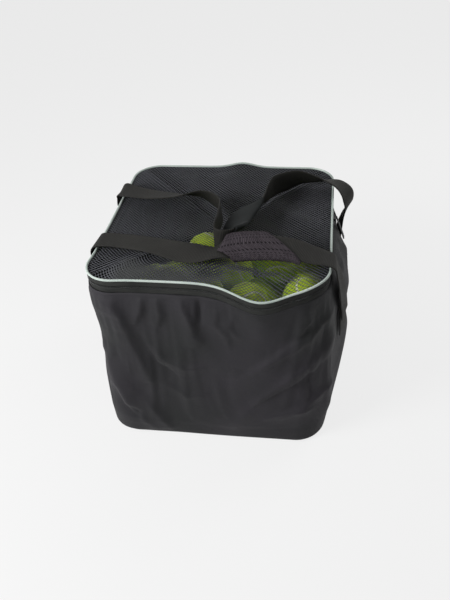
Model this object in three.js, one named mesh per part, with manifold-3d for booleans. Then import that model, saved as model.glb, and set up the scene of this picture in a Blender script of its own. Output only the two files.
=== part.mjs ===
// Tennis ball hopper: a square fabric bag with a see-through mesh lid, filled with balls.
// Millimetres, +Z up. The origin is the middle of the bag's base, on the ground.
// +X is the viewer's right, -Y is the front panel, +Y is the side where the lid hinges.
import * as THREE from 'three';
import { mergeVertices } from 'three/addons/utils/BufferGeometryUtils.js';
import Module from 'manifold-3d';

const wasm = await Module();
wasm.setup();

// Driving dimensions of the bag
const bagWidth = 360;
const bagDepth = 360;
const rimHeight = 330;
const cornerRadius = 47;
const fabric = 2;
const gap = 0.3;
const boardThickness = 3;
const boardClearance = 7;

// How far the loaded walls swell out, and where the right wall swells most
const rightSwell = 33;
const frontSwell = 9;
const backSwell = 10;
const leftSwell = 6;
const rightSwellCentreShare = -0.14;
const cornerSag = 13;
const cornerSagHalfWidth = 48;

// The front rim is pushed out and down by the balls, and the back rim rides up a little
const dentOffset = 90;
const dentHalfWidth = 52;
const dentForward = 20;
const dentDrop = 15;
const crestOffset = 15;
const crestHalfWidth = 28;
const crestRise = 8;

// Zip band under the rim
const pipingDiameter = 5;
const bandHeight = 7.9;
const bandThickness = 1.5;
const coilHeight = 1.3;
const coilProud = 1.2;
const zipStartY = 118;
const zipEndY = 36;

// Zip slider and its pull
const sliderLength = 14;
const sliderPlate = 1.4;
const pullLength = 42;
const pullWidth = 11;
const pullThickness = 1.6;
const endTabLength = 12;

// Lid net: a coarse stand-in for the fine knitted mesh
const netCells = 12;
const netStrand = 5;
const netThickness = 1.2;
const netEdgeClearance = 1.1;
const netBallClearance = 2.5;
const lidSag = 11;

// Webbing handles and their sleeves
const webWidth = 38;
const webThickness = 2;
const anchorHeight = 225;
const anchorY = 90;
const anchorLength = 60;
const anchorLap = 12;
const anchorOut = 1;
const ribbedSleeveWidth = 48;
const ribbedSleeveThickness = 11;
const smoothSleeveWidth = 45;
const smoothSleeveThickness = 8;

// Balls
const ballDiameter = 66.7;
const ballGap = 0.4;
const heapSeed = 683;
const moundOffsetX = 45;
const moundOffsetY = -75;
const moundRadius = 115;
const moundHeight = 238;
const moundSlopeShare = 0.75;

const halfWidth = bagWidth / 2;
const halfDepth = bagDepth / 2;
const wallClearance = fabric + gap;

// Every solid goes through this: it joins points and triangles, and turns the faces outwards.
function solid(points, triangles) {
  let volume = 0;
  for (const [a, b, c] of triangles) {
    volume += points[a].dot(new THREE.Vector3().crossVectors(points[b], points[c]));
  }
  const geometry = new THREE.BufferGeometry();
  const flat = points.flatMap((p) => [p.x, p.y, p.z]);
  geometry.setAttribute('position', new THREE.Float32BufferAttribute(flat, 3));
  geometry.setIndex(triangles.flatMap(([a, b, c]) => (volume > 0 ? [a, b, c] : [a, c, b])));
  return geometry;
}

// Geometry to and from the solids that can be joined.
function toManifold(geometry) {
  geometry.deleteAttribute('normal');
  geometry.deleteAttribute('uv');
  const merged = mergeVertices(geometry, ballDiameter / 1e5);
  const vertProperties = new Float32Array(merged.attributes.position.array);
  const triVerts = new Uint32Array(merged.index.array);
  return new wasm.Manifold(new wasm.Mesh({ numProp: 3, vertProperties, triVerts }));
}

function fromManifold(manifold) {
  const result = manifold.getMesh();
  const geometry = new THREE.BufferGeometry();
  geometry.setAttribute('position', new THREE.BufferAttribute(new Float32Array(result.vertProperties), 3));
  geometry.setIndex(Array.from(result.triVerts));
  return geometry;
}

// A strip of quads between two closed loops of points, as triangles. An inner wall faces inwards. A
// flat section's two faces are split along the same diagonal, so a twist doesn't change its thickness.
function between(loopA, loopB, triangles, inwards = false) {
  const count = loopA.length;
  for (let i = 0; i < count; i++) {
    const j = (i + 1) % count;
    const halves = i < count / 2
      ? [[loopA[i], loopA[j], loopB[j]], [loopA[i], loopB[j], loopB[i]]]
      : [[loopA[i], loopA[j], loopB[i]], [loopA[j], loopB[j], loopB[i]]];
    for (const [a, b, c] of halves) triangles.push(inwards ? [a, c, b] : [a, b, c]);
  }
}

// A body swept through a row of equal sections. With closed set, the last joins the first.
function sweep(sections, closed = false) {
  const points = sections.flat();
  const size = sections[0].length;
  const loop = (k) => Array.from({ length: size }, (_, i) => k * size + i);
  const triangles = [];
  for (let k = 0; k + 1 < sections.length; k++) between(loop(k), loop(k + 1), triangles);
  const last = sections.length - 1;
  if (closed) {
    between(loop(last), loop(0), triangles);
  } else {
    for (let i = 1; i + 1 < size; i++) {
      triangles.push([0, i + 1, i], [last * size, last * size + i, last * size + i + 1]);
    }
  }
  return solid(points, triangles);
}

// A tube with a hollow section: an outer and an inner loop at each station, open at both ends.
function sleeveSweep(outers, inners) {
  const size = outers[0].length;
  const points = [...outers.flat(), ...inners.flat()];
  const outer = (k) => Array.from({ length: size }, (_, i) => k * size + i);
  const inner = (k) => outer(k + outers.length);
  const triangles = [];
  const last = outers.length - 1;
  for (let k = 0; k < last; k++) {
    between(outer(k), outer(k + 1), triangles);
    between(inner(k), inner(k + 1), triangles, true);
  }
  between(inner(0), outer(0), triangles);
  between(outer(last), inner(last), triangles);
  return solid(points, triangles);
}

// A curved sheet of even thickness: place(column, v, depth) gives its outer face at depth 0.
function shell(place, columns, up, thickness) {
  const across = columns.length - 1;
  const points = [];
  for (const depth of [0, thickness]) {
    for (let j = 0; j <= up; j++) {
      for (const column of columns) points.push(place(column, j / up, depth));
    }
  }
  const layer = (across + 1) * (up + 1);
  const at = (i, j, side) => side * layer + j * (across + 1) + i;
  const triangles = [];
  const quad = (a, b, c, d) => triangles.push([a, b, c], [a, c, d]);
  for (let j = 0; j < up; j++) {
    for (let i = 0; i < across; i++) {
      quad(at(i, j, 0), at(i + 1, j, 0), at(i + 1, j + 1, 0), at(i, j + 1, 0));
      quad(at(i, j, 1), at(i, j + 1, 1), at(i + 1, j + 1, 1), at(i + 1, j, 1));
    }
  }
  for (let i = 0; i < across; i++) {
    quad(at(i, 0, 0), at(i, 0, 1), at(i + 1, 0, 1), at(i + 1, 0, 0));
    quad(at(i, up, 0), at(i + 1, up, 0), at(i + 1, up, 1), at(i, up, 1));
  }
  for (let j = 0; j < up; j++) {
    quad(at(0, j, 0), at(0, j + 1, 0), at(0, j + 1, 1), at(0, j, 1));
    quad(at(across, j, 0), at(across, j, 1), at(across, j + 1, 1), at(across, j + 1, 0));
  }
  return solid(points, triangles);
}

// The bag's plan is a rounded rectangle, walked from the front's left end round to the right.
const straightX = bagWidth - 2 * cornerRadius;
const straightY = bagDepth - 2 * cornerRadius;
const arcLength = (Math.PI / 2) * cornerRadius;
const rightStart = straightX + arcLength;
const backStart = rightStart + straightY + arcLength;
const leftStart = backStart + straightX + arcLength;
const perimeter = leftStart + straightY + arcLength;
const alongRight = (y) => rightStart + straightY / 2 + y;
const alongLeft = (y) => leftStart + straightY / 2 - y;

function plan(length) {
  const along = ((length % perimeter) + perimeter) % perimeter;
  const sides = [
    [0, straightX, -straightX / 2, -halfDepth, 1, 0],
    [rightStart, straightY, halfWidth, -straightY / 2, 0, 1],
    [backStart, straightX, straightX / 2, halfDepth, -1, 0],
    [leftStart, straightY, -halfWidth, straightY / 2, 0, -1],
  ];
  for (const [start, run, x, y, dx, dy] of sides) {
    const past = along - start;
    if (past <= run) return { x: x + dx * past, y: y + dy * past, nx: dy, ny: -dx };
    if (past < run + arcLength) {
      const turn = (past - run) / cornerRadius;
      const nx = dy * Math.cos(turn) + dx * Math.sin(turn);
      const ny = -dx * Math.cos(turn) + dy * Math.sin(turn);
      const centreX = x + dx * run - dy * cornerRadius;
      const centreY = y + dy * run + dx * cornerRadius;
      return { x: centreX + nx * cornerRadius, y: centreY + ny * cornerRadius, nx, ny };
    }
  }
  return plan(0);
}

// A smooth hump: 1 at the centre and 0 at the edge of its reach.
function hump(value, centre, reach) {
  const share = Math.min(1, Math.abs(value - centre) / reach);
  return Math.cos((Math.PI / 2) * share) ** 2;
}

const bell = (value, centre, halfSpan) => Math.exp(-(((value - centre) / halfSpan) ** 2));

// How far the rim is pushed forward, and its height, at a place on the plan
const dentAt = (p) => Math.max(0, -p.ny) * bell(p.x, dentOffset, dentHalfWidth);
const rimLevel = (p) =>
  rimHeight - dentDrop * dentAt(p) + crestRise * Math.max(0, p.ny) * bell(p.x, crestOffset, crestHalfWidth);

function rimPlace(length, out, down) {
  const p = plan(length);
  const push = out + dentForward * dentAt(p);
  return new THREE.Vector3(p.x + p.nx * push, p.y + p.ny * push, rimLevel(p) - down);
}

// Stations round the rim: close together on the corners and on the pushed-out front.
const frontSteps = 12;
const backSteps = 11;
const sideSteps = 11;
const cornerSteps = 4;

function stations(from, to) {
  const marks = [];
  const runs = [
    [0, straightX, frontSteps],
    [straightX, arcLength, cornerSteps],
    [rightStart, straightY, sideSteps],
    [rightStart + straightY, arcLength, cornerSteps],
    [backStart, straightX, backSteps],
    [backStart + straightX, arcLength, cornerSteps],
    [leftStart, straightY, sideSteps],
    [leftStart + straightY, arcLength, cornerSteps],
  ];
  for (const [start, run, steps] of runs) {
    for (let i = 0; i < steps; i++) marks.push(start + (run * i) / steps);
  }
  const near = 1e-6 * perimeter;
  const inside = [...marks, ...marks.map((m) => m + perimeter), ...marks.map((m) => m + 2 * perimeter)];
  return [from, ...inside.filter((m) => m > from + near && m < to - near), to];
}

// A rim piece: its section is a list of [outwards, downwards] corners.
function rimPiece(from, to, section) {
  const whole = to - from >= perimeter;
  const marks = stations(from, to);
  if (whole) marks.pop();
  return sweep(marks.map((m) => section.map(([out, down]) => rimPlace(m, out, down))), whole);
}

const rectangle = (out0, out1, down0, down1) => [[out0, down0], [out1, down0], [out1, down1], [out0, down1]];

const zipFrom = alongLeft(zipStartY);
const zipTo = perimeter + alongRight(zipEndY);
const bandTop = pipingDiameter / 2 + gap;
const bandBottom = bandTop + bandHeight;
const upperCoilBottom = bandBottom + gap + coilHeight;
const lowerCoilTop = upperCoilBottom + gap;
const tapeTop = lowerCoilTop + coilHeight + gap;
const panelDrop = tapeTop + bandHeight + gap;

function pipingGeometry() {
  const sides = 8;
  const section = Array.from({ length: sides }, (_, i) => {
    const angle = (2 * Math.PI * i) / sides;
    return [(pipingDiameter / 2) * Math.cos(angle), (pipingDiameter / 2) * Math.sin(angle)];
  });
  return rimPiece(0, perimeter, section);
}

const lidBandGeometry = () => rimPiece(0, perimeter, rectangle(-bandThickness, 0, bandTop, bandBottom));
const zipTapeGeometry = () =>
  rimPiece(zipFrom, zipTo, rectangle(-bandThickness, 0, tapeTop, tapeTop + bandHeight));
const upperCoilGeometry = () =>
  rimPiece(zipFrom, zipTo, rectangle(-bandThickness, coilProud, bandBottom + gap, upperCoilBottom));
const lowerCoilGeometry = () =>
  rimPiece(zipFrom, zipTo, rectangle(-bandThickness, coilProud, lowerCoilTop, lowerCoilTop + coilHeight));

// The strip that joins the lid to the bag behind the two ends of the zip
const hingeStripGeometry = () =>
  rimPiece(
    zipTo - perimeter + gap,
    zipFrom - gap,
    rectangle(-bandThickness, 0, bandBottom + gap, tapeTop + bandHeight),
  );

// The folded tab sewn over the zip's starting end
function zipEndTabGeometry() {
  const from = zipFrom - endTabLength / 2;
  const section = rectangle(coilProud + gap, coilProud + gap + bandThickness, bandBottom - bandHeight / 2,
    tapeTop + bandHeight / 2);
  return rimPiece(from, from + endTabLength, section);
}

// The walls. The swell is largest near mid height and dies away at the base and at the rim.
const panelBottom = fabric + gap;
const swellProfile = (share) => Math.sqrt(Math.sin(Math.PI * Math.min(1, Math.max(0, share))));

function swellAt(p, share) {
  const right = rightSwell * hump(p.y, rightSwellCentreShare * halfDepth, halfDepth) * Math.max(0, p.nx) ** 2;
  const left = leftSwell * hump(p.y, 0, halfDepth) * Math.max(0, -p.nx) ** 2;
  const front = frontSwell * hump(p.x, 0, halfWidth) * Math.max(0, -p.ny) ** 2;
  const back = backSwell * hump(p.x, 0, halfWidth) * Math.max(0, p.ny) ** 2;
  return (right + left + front + back) * swellProfile(share);
}

// The main folds of the loose cloth. Each row gives a fold's width and how far it stands out, as
// shares of the bag's width, and its ends, as shares of the way round the bag and of the wall's height.
const mainFoldShares = [
  [0.067, 0.0139, -0.029, 0.63, 0.022, 0.06],
  [0.05, 0.0111, 0.005, 0.85, 0.025, 0.42],
  [0.067, 0.0125, 0.124, 0.15, 0.243, 0.67],
  [0.061, 0.01, 0.11, 0.6, 0.246, 0.85],
  [0.044, 0.0111, 0.069, 0.98, 0.081, 0.73],
  [0.067, 0.0125, 0.254, 0.2, 0.316, 0.49],
  [0.05, 0.0111, 0.309, 0.98, 0.335, 0.7],
  [0.05, 0.01, 0.372, 0.96, 0.353, 0.65],
  [0.067, 0.0125, 0.383, 0.16, 0.449, 0.46],
  [0.056, 0.01, 0.324, 0.13, 0.368, 0.39],
  [0.067, 0.0125, 0.478, 0.2, 0.537, 0.52],
  [0.056, 0.0111, 0.559, 0.96, 0.581, 0.65],
  [0.056, 0.0111, 0.647, 0.96, 0.625, 0.68],
  [0.067, 0.0125, 0.625, 0.15, 0.688, 0.46],
  [0.056, 0.01, 0.574, 0.2, 0.611, 0.42],
  [0.067, 0.0125, 0.736, 0.2, 0.798, 0.49],
  [0.056, 0.0111, 0.831, 0.96, 0.857, 0.65],
  [0.061, 0.0125, 0.879, 0.16, 0.942, 0.44],
];

function foldAt(length, share) {
  const wallHeight = rimHeight - panelDrop;
  let out = 0;
  for (const [wide, deep, round0, height0, round1, height1] of mainFoldShares) {
    const run = new THREE.Vector2((round1 - round0) * perimeter, (height1 - height0) * wallHeight);
    const past = length - round0 * perimeter;
    const around = past - perimeter * Math.round(past / perimeter);
    const from = new THREE.Vector2(around, (share - height0) * wallHeight);
    const along = Math.max(0, Math.min(1, from.dot(run) / run.lengthSq()));
    const apart = from.addScaledVector(run, -along).length();
    out += deep * bagWidth * bell(apart, 0, wide * bagWidth);
  }
  return out * swellProfile(share);
}

// The cloth sags out over the floor at the front left corner. Rows: share of the wall's height, share
// of the sag.
const sagProfileShares = [[0, 0], [0.04, 0.85], [0.15, 1], [0.4, 0.85], [0.62, 0], [0.82, 0.3], [1, 0]];

function cornerSagAt(length, share) {
  const past = length + arcLength / 2;
  const around = past - perimeter * Math.round(past / perimeter);
  const next = Math.max(1, sagProfileShares.findIndex(([height]) => height >= share));
  const [[height0, part0], [height1, part1]] = [sagProfileShares[next - 1], sagProfileShares[next]];
  const part = part0 + ((part1 - part0) * (share - height0)) / (height1 - height0);
  return cornerSag * part * bell(around, 0, cornerSagHalfWidth);
}

function wallPlace(length, share, out) {
  const p = plan(length);
  const top = rimLevel(p) - panelDrop;
  const push = out + swellAt(p, share) + dentForward * dentAt(p) * share ** 3
    + foldAt(length, share) + cornerSagAt(length, share);
  return new THREE.Vector3(p.x + p.nx * push, p.y + p.ny * push, panelBottom + share * (top - panelBottom));
}

// Four panels, each sewn to the next at the middle of a corner
const panelUp = 12;

function panelGeometry(start, run) {
  const from = start + perimeter - arcLength / 2 + gap / 2;
  const to = start + perimeter + run + arcLength / 2 - gap / 2;
  return shell((along, v, depth) => wallPlace(along, v, -depth), stations(from, to), panelUp, fabric);
}

// A flat plate with the bag's plan, drawn in by inset.
function plateGeometry(inset, bottom, thickness) {
  const marks = stations(0, perimeter);
  marks.pop();
  const outline = marks.map((m) => {
    const p = plan(m);
    return new THREE.Vector2(p.x - p.nx * inset, p.y - p.ny * inset);
  });
  const geometry = new THREE.ExtrudeGeometry(new THREE.Shape(outline), { depth: thickness, bevelEnabled: false });
  return geometry.translate(0, 0, bottom);
}

const boardInset = fabric + boardClearance;
const boardBottom = fabric + gap;
const floorLevel = boardBottom + boardThickness + gap;

// The heap of balls. Each ball is dropped where the heap has room, and rolls to the lowest place.
function randomNumbers(seed) {
  let state = seed >>> 0;
  return () => {
    state = (state + 0x6d2b79f5) >>> 0;
    let mix = Math.imul(state ^ (state >>> 15), 1 | state);
    mix = (mix + Math.imul(mix ^ (mix >>> 7), 61 | mix)) ^ mix;
    return ((mix ^ (mix >>> 14)) >>> 0) / 2 ** 32;
  };
}

const ballRadius = ballDiameter / 2;
const touching = ballDiameter + ballGap;
const reachX = halfWidth - wallClearance - fabric - ballRadius;
const reachY = halfDepth - wallClearance - fabric - ballRadius;
const reachRadius = Math.max(0, cornerRadius - wallClearance - fabric - ballRadius);

// The middle of a ball stays inside the bag's plan, drawn in by the wall and the ball's radius.
function keepIn(x, y) {
  const straight = [reachX - reachRadius, reachY - reachRadius];
  const [coreX, coreY] = straight.map((half, k) => Math.max(-half, Math.min(half, [x, y][k])));
  const past = Math.hypot(x - coreX, y - coreY);
  const share = past > reachRadius ? reachRadius / past : 1;
  return [coreX + (x - coreX) * share, coreY + (y - coreY) * share];
}

function dropHeight(balls, x, y) {
  let z = floorLevel + ballRadius;
  for (const ball of balls) {
    const lift = touching ** 2 - (x - ball.x) ** 2 - (y - ball.y) ** 2;
    if (lift > 0) z = Math.max(z, ball.z + Math.sqrt(lift));
  }
  return z;
}

const rollDirections = 8;
const rollShrinkShare = 0.6;
const finestStepShare = 0.006;
const levelShare = 0.0003;

function roll(balls, startX, startY, farthest) {
  let place = new THREE.Vector3(startX, startY, dropHeight(balls, startX, startY));
  let step = ballRadius / 3;
  while (step > finestStepShare * ballRadius) {
    let lower = null;
    for (let k = 0; k < rollDirections; k++) {
      const angle = (2 * Math.PI * k) / rollDirections;
      const [x, y] = keepIn(place.x + step * Math.cos(angle), place.y + step * Math.sin(angle));
      if (Math.hypot(x - startX, y - startY) > farthest) continue;
      const z = dropHeight(balls, x, y);
      if (z < place.z - levelShare * ballRadius && (!lower || z < lower.z)) lower = new THREE.Vector3(x, y, z);
    }
    if (lower) place = lower;
    else step *= rollShrinkShare;
  }
  return place;
}

const triesPerBall = 14;

// The heap is a mound towards the front right: flat on top, and falling away past its radius.
function heapCeiling(x, y) {
  const past = Math.hypot(x - moundOffsetX, y - moundOffsetY) - moundRadius;
  return moundHeight - moundSlopeShare * Math.max(0, past);
}

function hiddenHeap() {
  const random = randomNumbers(heapSeed);
  const balls = [];
  for (;;) {
    let best = null;
    for (let k = 0; k < triesPerBall; k++) {
      const [x, y] = keepIn((2 * random() - 1) * reachX, (2 * random() - 1) * reachY);
      const place = roll(balls, x, y, perimeter);
      const room = heapCeiling(place.x, place.y) - place.z;
      if (room > 0 && (!best || place.z < best.z)) best = place;
    }
    if (!best) return balls;
    balls.push(best);
  }
}

// Where the uppermost balls are dropped, as shares of the bag's half width and half depth
const topBallShares = [
  [0.294, -0.822],
  [0.806, -0.611],
  [0.506, -0.278],
  [-0.139, -0.056],
  [-0.406, -0.528],
  [0.311, 0.056],
  [0.194, -0.417],
  [-0.083, -0.639],
];
const topRollShare = 0.66;

function topBalls(below) {
  const balls = [...below];
  for (const [shareX, shareY] of topBallShares) {
    const [x, y] = keepIn(shareX * halfWidth, shareY * halfDepth);
    const place = roll(balls, x, y, topRollShare * ballRadius);
    balls.push(place);
  }
  return balls.slice(below.length);
}

const lowerHeap = hiddenHeap().sort((a, b) => b.z - a.z);
const upperHeap = topBalls(lowerHeap);

// The balls nearest the lid are pieces of their own. The buried ones are joined by small necks where
// they lie closest, as one heap.
const separateHiddenBalls = 24;
const buriedSides = [5, 4];
const hiddenSides = [8, 6];
const shownSides = [12, 8];
const neckRadius = 4;
const neckSides = 3;

const ballGeometry = (ball, [around, down]) =>
  mergedSphere(new THREE.SphereGeometry(ballRadius, around, down)).translate(ball.x, ball.y, ball.z);

// The points that a sphere repeats at its seam and poles are merged.
const mergedSphere = (sphere) => fromManifold(toManifold(sphere));

function neckGeometry(ballA, ballB) {
  const length = ballA.distanceTo(ballB);
  const geometry = new THREE.CylinderGeometry(neckRadius, neckRadius, length - ballRadius, neckSides);
  const direction = ballB.clone().sub(ballA).divideScalar(length);
  geometry.applyQuaternion(new THREE.Quaternion().setFromUnitVectors(new THREE.Vector3(0, 1, 0), direction));
  const middle = ballA.clone().add(ballB).divideScalar(2);
  return geometry.translate(middle.x, middle.y, middle.z);
}

function heapGeometry(balls) {
  const joined = [balls[0]];
  const left = balls.slice(1);
  let heap = toManifold(ballGeometry(balls[0], buriedSides));
  while (left.length) {
    let best = null;
    for (const ball of left) {
      for (const other of joined) {
        const distance = ball.distanceTo(other);
        if (!best || distance < best.distance) best = { ball, other, distance };
      }
    }
    heap = heap.add(toManifold(ballGeometry(best.ball, buriedSides)));
    heap = heap.add(toManifold(neckGeometry(best.ball, best.other)));
    joined.push(best.ball);
    left.splice(left.indexOf(best.ball), 1);
  }
  return fromManifold(heap);
}

// The lid net hangs from the piping, sags, and drapes over the highest balls.
const netInset = pipingDiameter / 2 + netEdgeClearance;

function netPlan(u, v) {
  const a = 2 * u - 1;
  const b = 2 * v - 1;
  const ring = Math.max(Math.abs(a), Math.abs(b));
  if (ring === 0) return { x: 0, y: 0, edge: rimPlace(0, 0, 0), ring };
  const edge = edgeTowards(a / ring, b / ring);
  return { x: edge.x * ring, y: edge.y * ring, edge, ring };
}

// The rim's place for a point on the unit square's edge, walked side by side with the plan
function edgeTowards(a, b) {
  const quarter = perimeter / 4;
  const frontMiddle = straightX / 2;
  let along = frontMiddle;
  if (b <= -1 + 1e-9) along = frontMiddle + (a / 2) * quarter;
  else if (a >= 1 - 1e-9) along = frontMiddle + (1 + b / 2) * quarter;
  else if (b >= 1 - 1e-9) along = frontMiddle + (2 - a / 2) * quarter;
  else along = frontMiddle + (3 - b / 2) * quarter;
  return rimPlace(along, -netInset, 0);
}

// On an even grid, a square membrane lowered by 1 at each pass settles to this share of cells squared.
const membraneShare = 0.295;
const drapePasses = 400;

function netHeights(balls) {
  const size = netCells + 1;
  const grid = Array.from({ length: size }, (_, j) =>
    Array.from({ length: size }, (_, i) => netPlan(i / netCells, j / netCells)));
  const onEdge = (i, j) => i === 0 || j === 0 || i === netCells || j === netCells;
  const floorAt = (x, y) => {
    const clear = ballRadius + gap + netThickness;
    const tops = balls.map((ball) => {
      const lift = clear ** 2 - (x - ball.x) ** 2 - (y - ball.y) ** 2;
      return lift > 0 ? ball.z + Math.sqrt(lift) + netBallClearance : 0;
    });
    return Math.max(0, ...tops);
  };
  let z = grid.map((row) => row.map((p) => p.edge.z));
  const lowest = grid.map((row) => row.map((p) => floorAt(p.x, p.y)));
  const sagStep = lidSag / (membraneShare * netCells ** 2);
  for (let pass = 0; pass < drapePasses; pass++) {
    z = z.map((row, j) => row.map((value, i) => {
      if (onEdge(i, j)) return value;
      const mean = (z[j - 1][i] + z[j + 1][i] + z[j][i - 1] + z[j][i + 1]) / 4;
      return Math.max(mean - sagStep, lowest[j][i]);
    }));
  }
  return grid.map((row, j) => row.map((p, i) => new THREE.Vector3(p.x, p.y, z[j][i])));
}

function netGeometry(balls) {
  const nodes = netHeights(balls);
  const points = [];
  const keep = (point, drop) => points.push(new THREE.Vector3(point.x, point.y, point.z - drop)) - 1;
  const corner = nodes.map((row) => row.map((p) => [keep(p, 0), keep(p, netThickness)]));
  const triangles = [];
  const quad = (a, b, c, d) => triangles.push([a, b, c], [a, c, d]);
  for (let j = 0; j < netCells; j++) {
    for (let i = 0; i < netCells; i++) {
      const ring = [[i, j], [i + 1, j], [i + 1, j + 1], [i, j + 1]];
      const places = ring.map(([a, b]) => nodes[b][a]);
      const outer = ring.map(([a, b]) => corner[b][a]);
      const middle = places.reduce((sum, p) => sum.add(p), new THREE.Vector3()).divideScalar(4);
      const shrink = 1 - (netStrand * netCells) / Math.min(bagWidth, bagDepth);
      const inner = places.map((p) => {
        const point = middle.clone().lerp(p, shrink);
        return [keep(point, 0), keep(point, netThickness)];
      });
      for (let k = 0; k < 4; k++) {
        const n = (k + 1) % 4;
        quad(outer[k][0], outer[n][0], inner[n][0], inner[k][0]);
        quad(outer[n][1], outer[k][1], inner[k][1], inner[n][1]);
        quad(inner[k][0], inner[n][0], inner[n][1], inner[k][1]);
      }
    }
  }
  const edge = [];
  for (let i = 0; i < netCells; i++) edge.push(corner[0][i]);
  for (let j = 0; j < netCells; j++) edge.push(corner[j][netCells]);
  for (let i = netCells; i > 0; i--) edge.push(corner[netCells][i]);
  for (let j = netCells; j > 0; j--) edge.push(corner[j][0]);
  edge.forEach((point, k) => {
    const next = edge[(k + 1) % edge.length];
    quad(point[1], next[1], next[0], point[0]);
  });
  return solid(points, triangles);
}

// The sewn lower ends of the handles lie on the side walls.
const anchorTop = anchorHeight + anchorLap / 2 + anchorLap;

const wallShareAt = (height) => (height - panelBottom) / (rimHeight - panelDrop - panelBottom);

function sidePlace(side, y, height, out) {
  return wallPlace(side > 0 ? alongRight(y) : alongLeft(y), wallShareAt(height), out);
}

const anchorColumnShares = [-0.5, -0.17, 0.17, 0.5];
const anchorRows = 4;

function anchorGeometry(side, end) {
  const place = (share, v, depth) => sidePlace(
    side,
    end * anchorY + share * webWidth,
    anchorTop - anchorLength + v * anchorLength,
    anchorOut + webThickness - depth,
  );
  return shell(place, anchorColumnShares, anchorRows, webThickness);
}

// A handle's route. Each row is a share of the half width, a share of the half depth, a share of the
// way from the anchor (0) up to the rim (1), and the direction of the webbing's width. Beside a wall,
// where the first share is past 1, the wall's swell is added.
const frontRouteShares = [
  [-1.027, -0.5, -0.09, 0, 1, 0],
  [-1.03, -0.5, 0.15, 0, 1, 0],
  [-1.035, -0.49, 0.38, 0, 1, 0],
  [-1.05, -0.465, 0.77, 0, 1, 0],
  [-1.053, -0.47, 0.93, 0.05, 1, 0],
  [-1.01, -0.475, 1.045, 0.05, 1, 0],
  [-0.92, -0.475, 1.062, 0, 1, 0],
  [-0.78, -0.485, 1.06, 0, 1, 0],
  [-0.51, -0.545, 1.075, 0.1, 1, 0.05],
  [-0.16, -0.66, 1.09, 0.1, 0.95, 0.3],
  [0.05, -0.665, 1.12, 0.05, 0.95, -0.1],
  [0.22, -0.62, 1.17, 0, 0.9, 0.44],
  [0.45, -0.595, 1.18, 0, 0.92, 0.38],
  [0.68, -0.6, 1.155, 0, 0.95, 0.3],
  [0.84, -0.635, 1.105, 0, 0.98, 0.2],
  [0.95, -0.655, 1.08, 0, 1, 0.05],
  [1.03, -0.665, 1.03, 0, 1, 0],
  [1.055, -0.655, 0.88, 0, 1, 0],
  [1.05, -0.62, 0.63, 0, 1, 0],
  [1.04, -0.565, 0.36, 0, 1, 0],
  [1.029, -0.51, 0.14, 0, 1, 0],
  [1.027, -0.5, -0.09, 0, 1, 0],
];
const rearRouteShares = [
  [-1.027, 0.5, -0.09, 0, 1, 0],
  [-1.03, 0.5, 0.15, 0, 1, 0],
  [-1.038, 0.49, 0.38, 0, 1, 0],
  [-1.06, 0.465, 0.77, 0, 1, 0],
  [-1.07, 0.43, 0.9, 0, 1, 0],
  [-1.03, 0.4, 1.06, 0, 1, 0],
  [-0.93, 0.35, 1.095, 0, 1, 0],
  [-0.74, 0.3, 1.095, 0, 1, -0.1],
  [-0.5, 0.28, 1.1, 0, 0.94, -0.3],
  [-0.27, 0.29, 1.12, 0.05, 0.76, -0.64],
  [-0.12, 0.21, 1.13, 0.15, 0.4, -0.9],
  [0, 0.03, 1.14, 0.1, 0, -0.98],
  [0.015, -0.2, 1.14, 0, 0, -1],
  [0.012, -0.39, 1.15, 0, 0, -1],
  [0.03, -0.485, 1.155, 0, 0, -1],
  [0.09, -0.52, 1.16, 0, 0, -1],
  [0.148, -0.48, 1.165, -0.3, 0.12, -0.94],
  [0.172, -0.385, 1.17, -0.76, 0.11, -0.64],
  [0.185, -0.27, 1.16, -0.93, 0.15, -0.36],
  [0.21, -0.12, 1.15, -0.94, 0.18, -0.33],
  [0.265, 0.04, 1.14, -0.82, 0.36, -0.42],
  [0.34, 0.17, 1.15, -0.5, 0.32, -0.8],
  [0.395, 0.3, 1.16, -0.15, 0.1, -0.98],
  [0.445, 0.43, 1.16, 0, 0, -1],
  [0.55, 0.53, 1.16, 0, 0.1, -0.99],
  [0.71, 0.6, 1.18, 0, 0.5, -0.87],
  [0.88, 0.55, 1.2, 0, 0.82, -0.57],
  [1.005, 0.52, 1.17, 0.02, 0.98, -0.2],
  [1.09, 0.515, 1.075, 0.2, 0.96, 0.05],
  [1.145, 0.515, 0.935, 0.42, 0.9, 0.12],
  [1.155, 0.515, 0.79, 0.35, 0.93, 0],
  [1.085, 0.51, 0.58, 0.15, 0.98, 0],
  [1.042, 0.495, 0.34, 0, 1, 0],
  [1.03, 0.5, 0.13, 0, 1, 0],
  [1.028, 0.5, -0.09, 0, 1, 0],
];

function routeAlong(shares) {
  const rise = rimHeight - anchorHeight;
  const wallOut = (x, y, z) => {
    const side = Math.abs(x) > 1 ? Math.sign(x) : 0;
    return side * swellAt({ x: 0, y, nx: side, ny: 0 }, wallShareAt(anchorHeight + z * rise));
  };
  const centres = shares.map(([x, y, z]) =>
    new THREE.Vector3(x * halfWidth + wallOut(x, y * halfDepth, z), y * halfDepth, anchorHeight + z * rise));
  const widths = shares.map(([x, y, z, across, along, up]) => {
    const ends = [0.5, -0.5].map((end) => wallOut(x, y * halfDepth + end * webWidth, z));
    return new THREE.Vector3(across + (along * (ends[0] - ends[1])) / webWidth, along, up);
  });
  const line = new THREE.CatmullRomCurve3(centres);
  const turn = new THREE.CatmullRomCurve3(widths);
  return (t) => {
    const tangent = line.getTangent(t);
    const across = turn.getPoint(t);
    across.addScaledVector(tangent, -across.dot(tangent)).normalize();
    return { centre: line.getPoint(t), across, out: new THREE.Vector3().crossVectors(across, tangent) };
  };
}

function flatSection({ centre, across, out }, width, thickness) {
  return [[-1, -1], [1, -1], [1, 1], [-1, 1]].map(([a, b]) => centre.clone()
    .addScaledVector(across, (a * width) / 2)
    .addScaledVector(out, (b * thickness) / 2));
}

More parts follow.
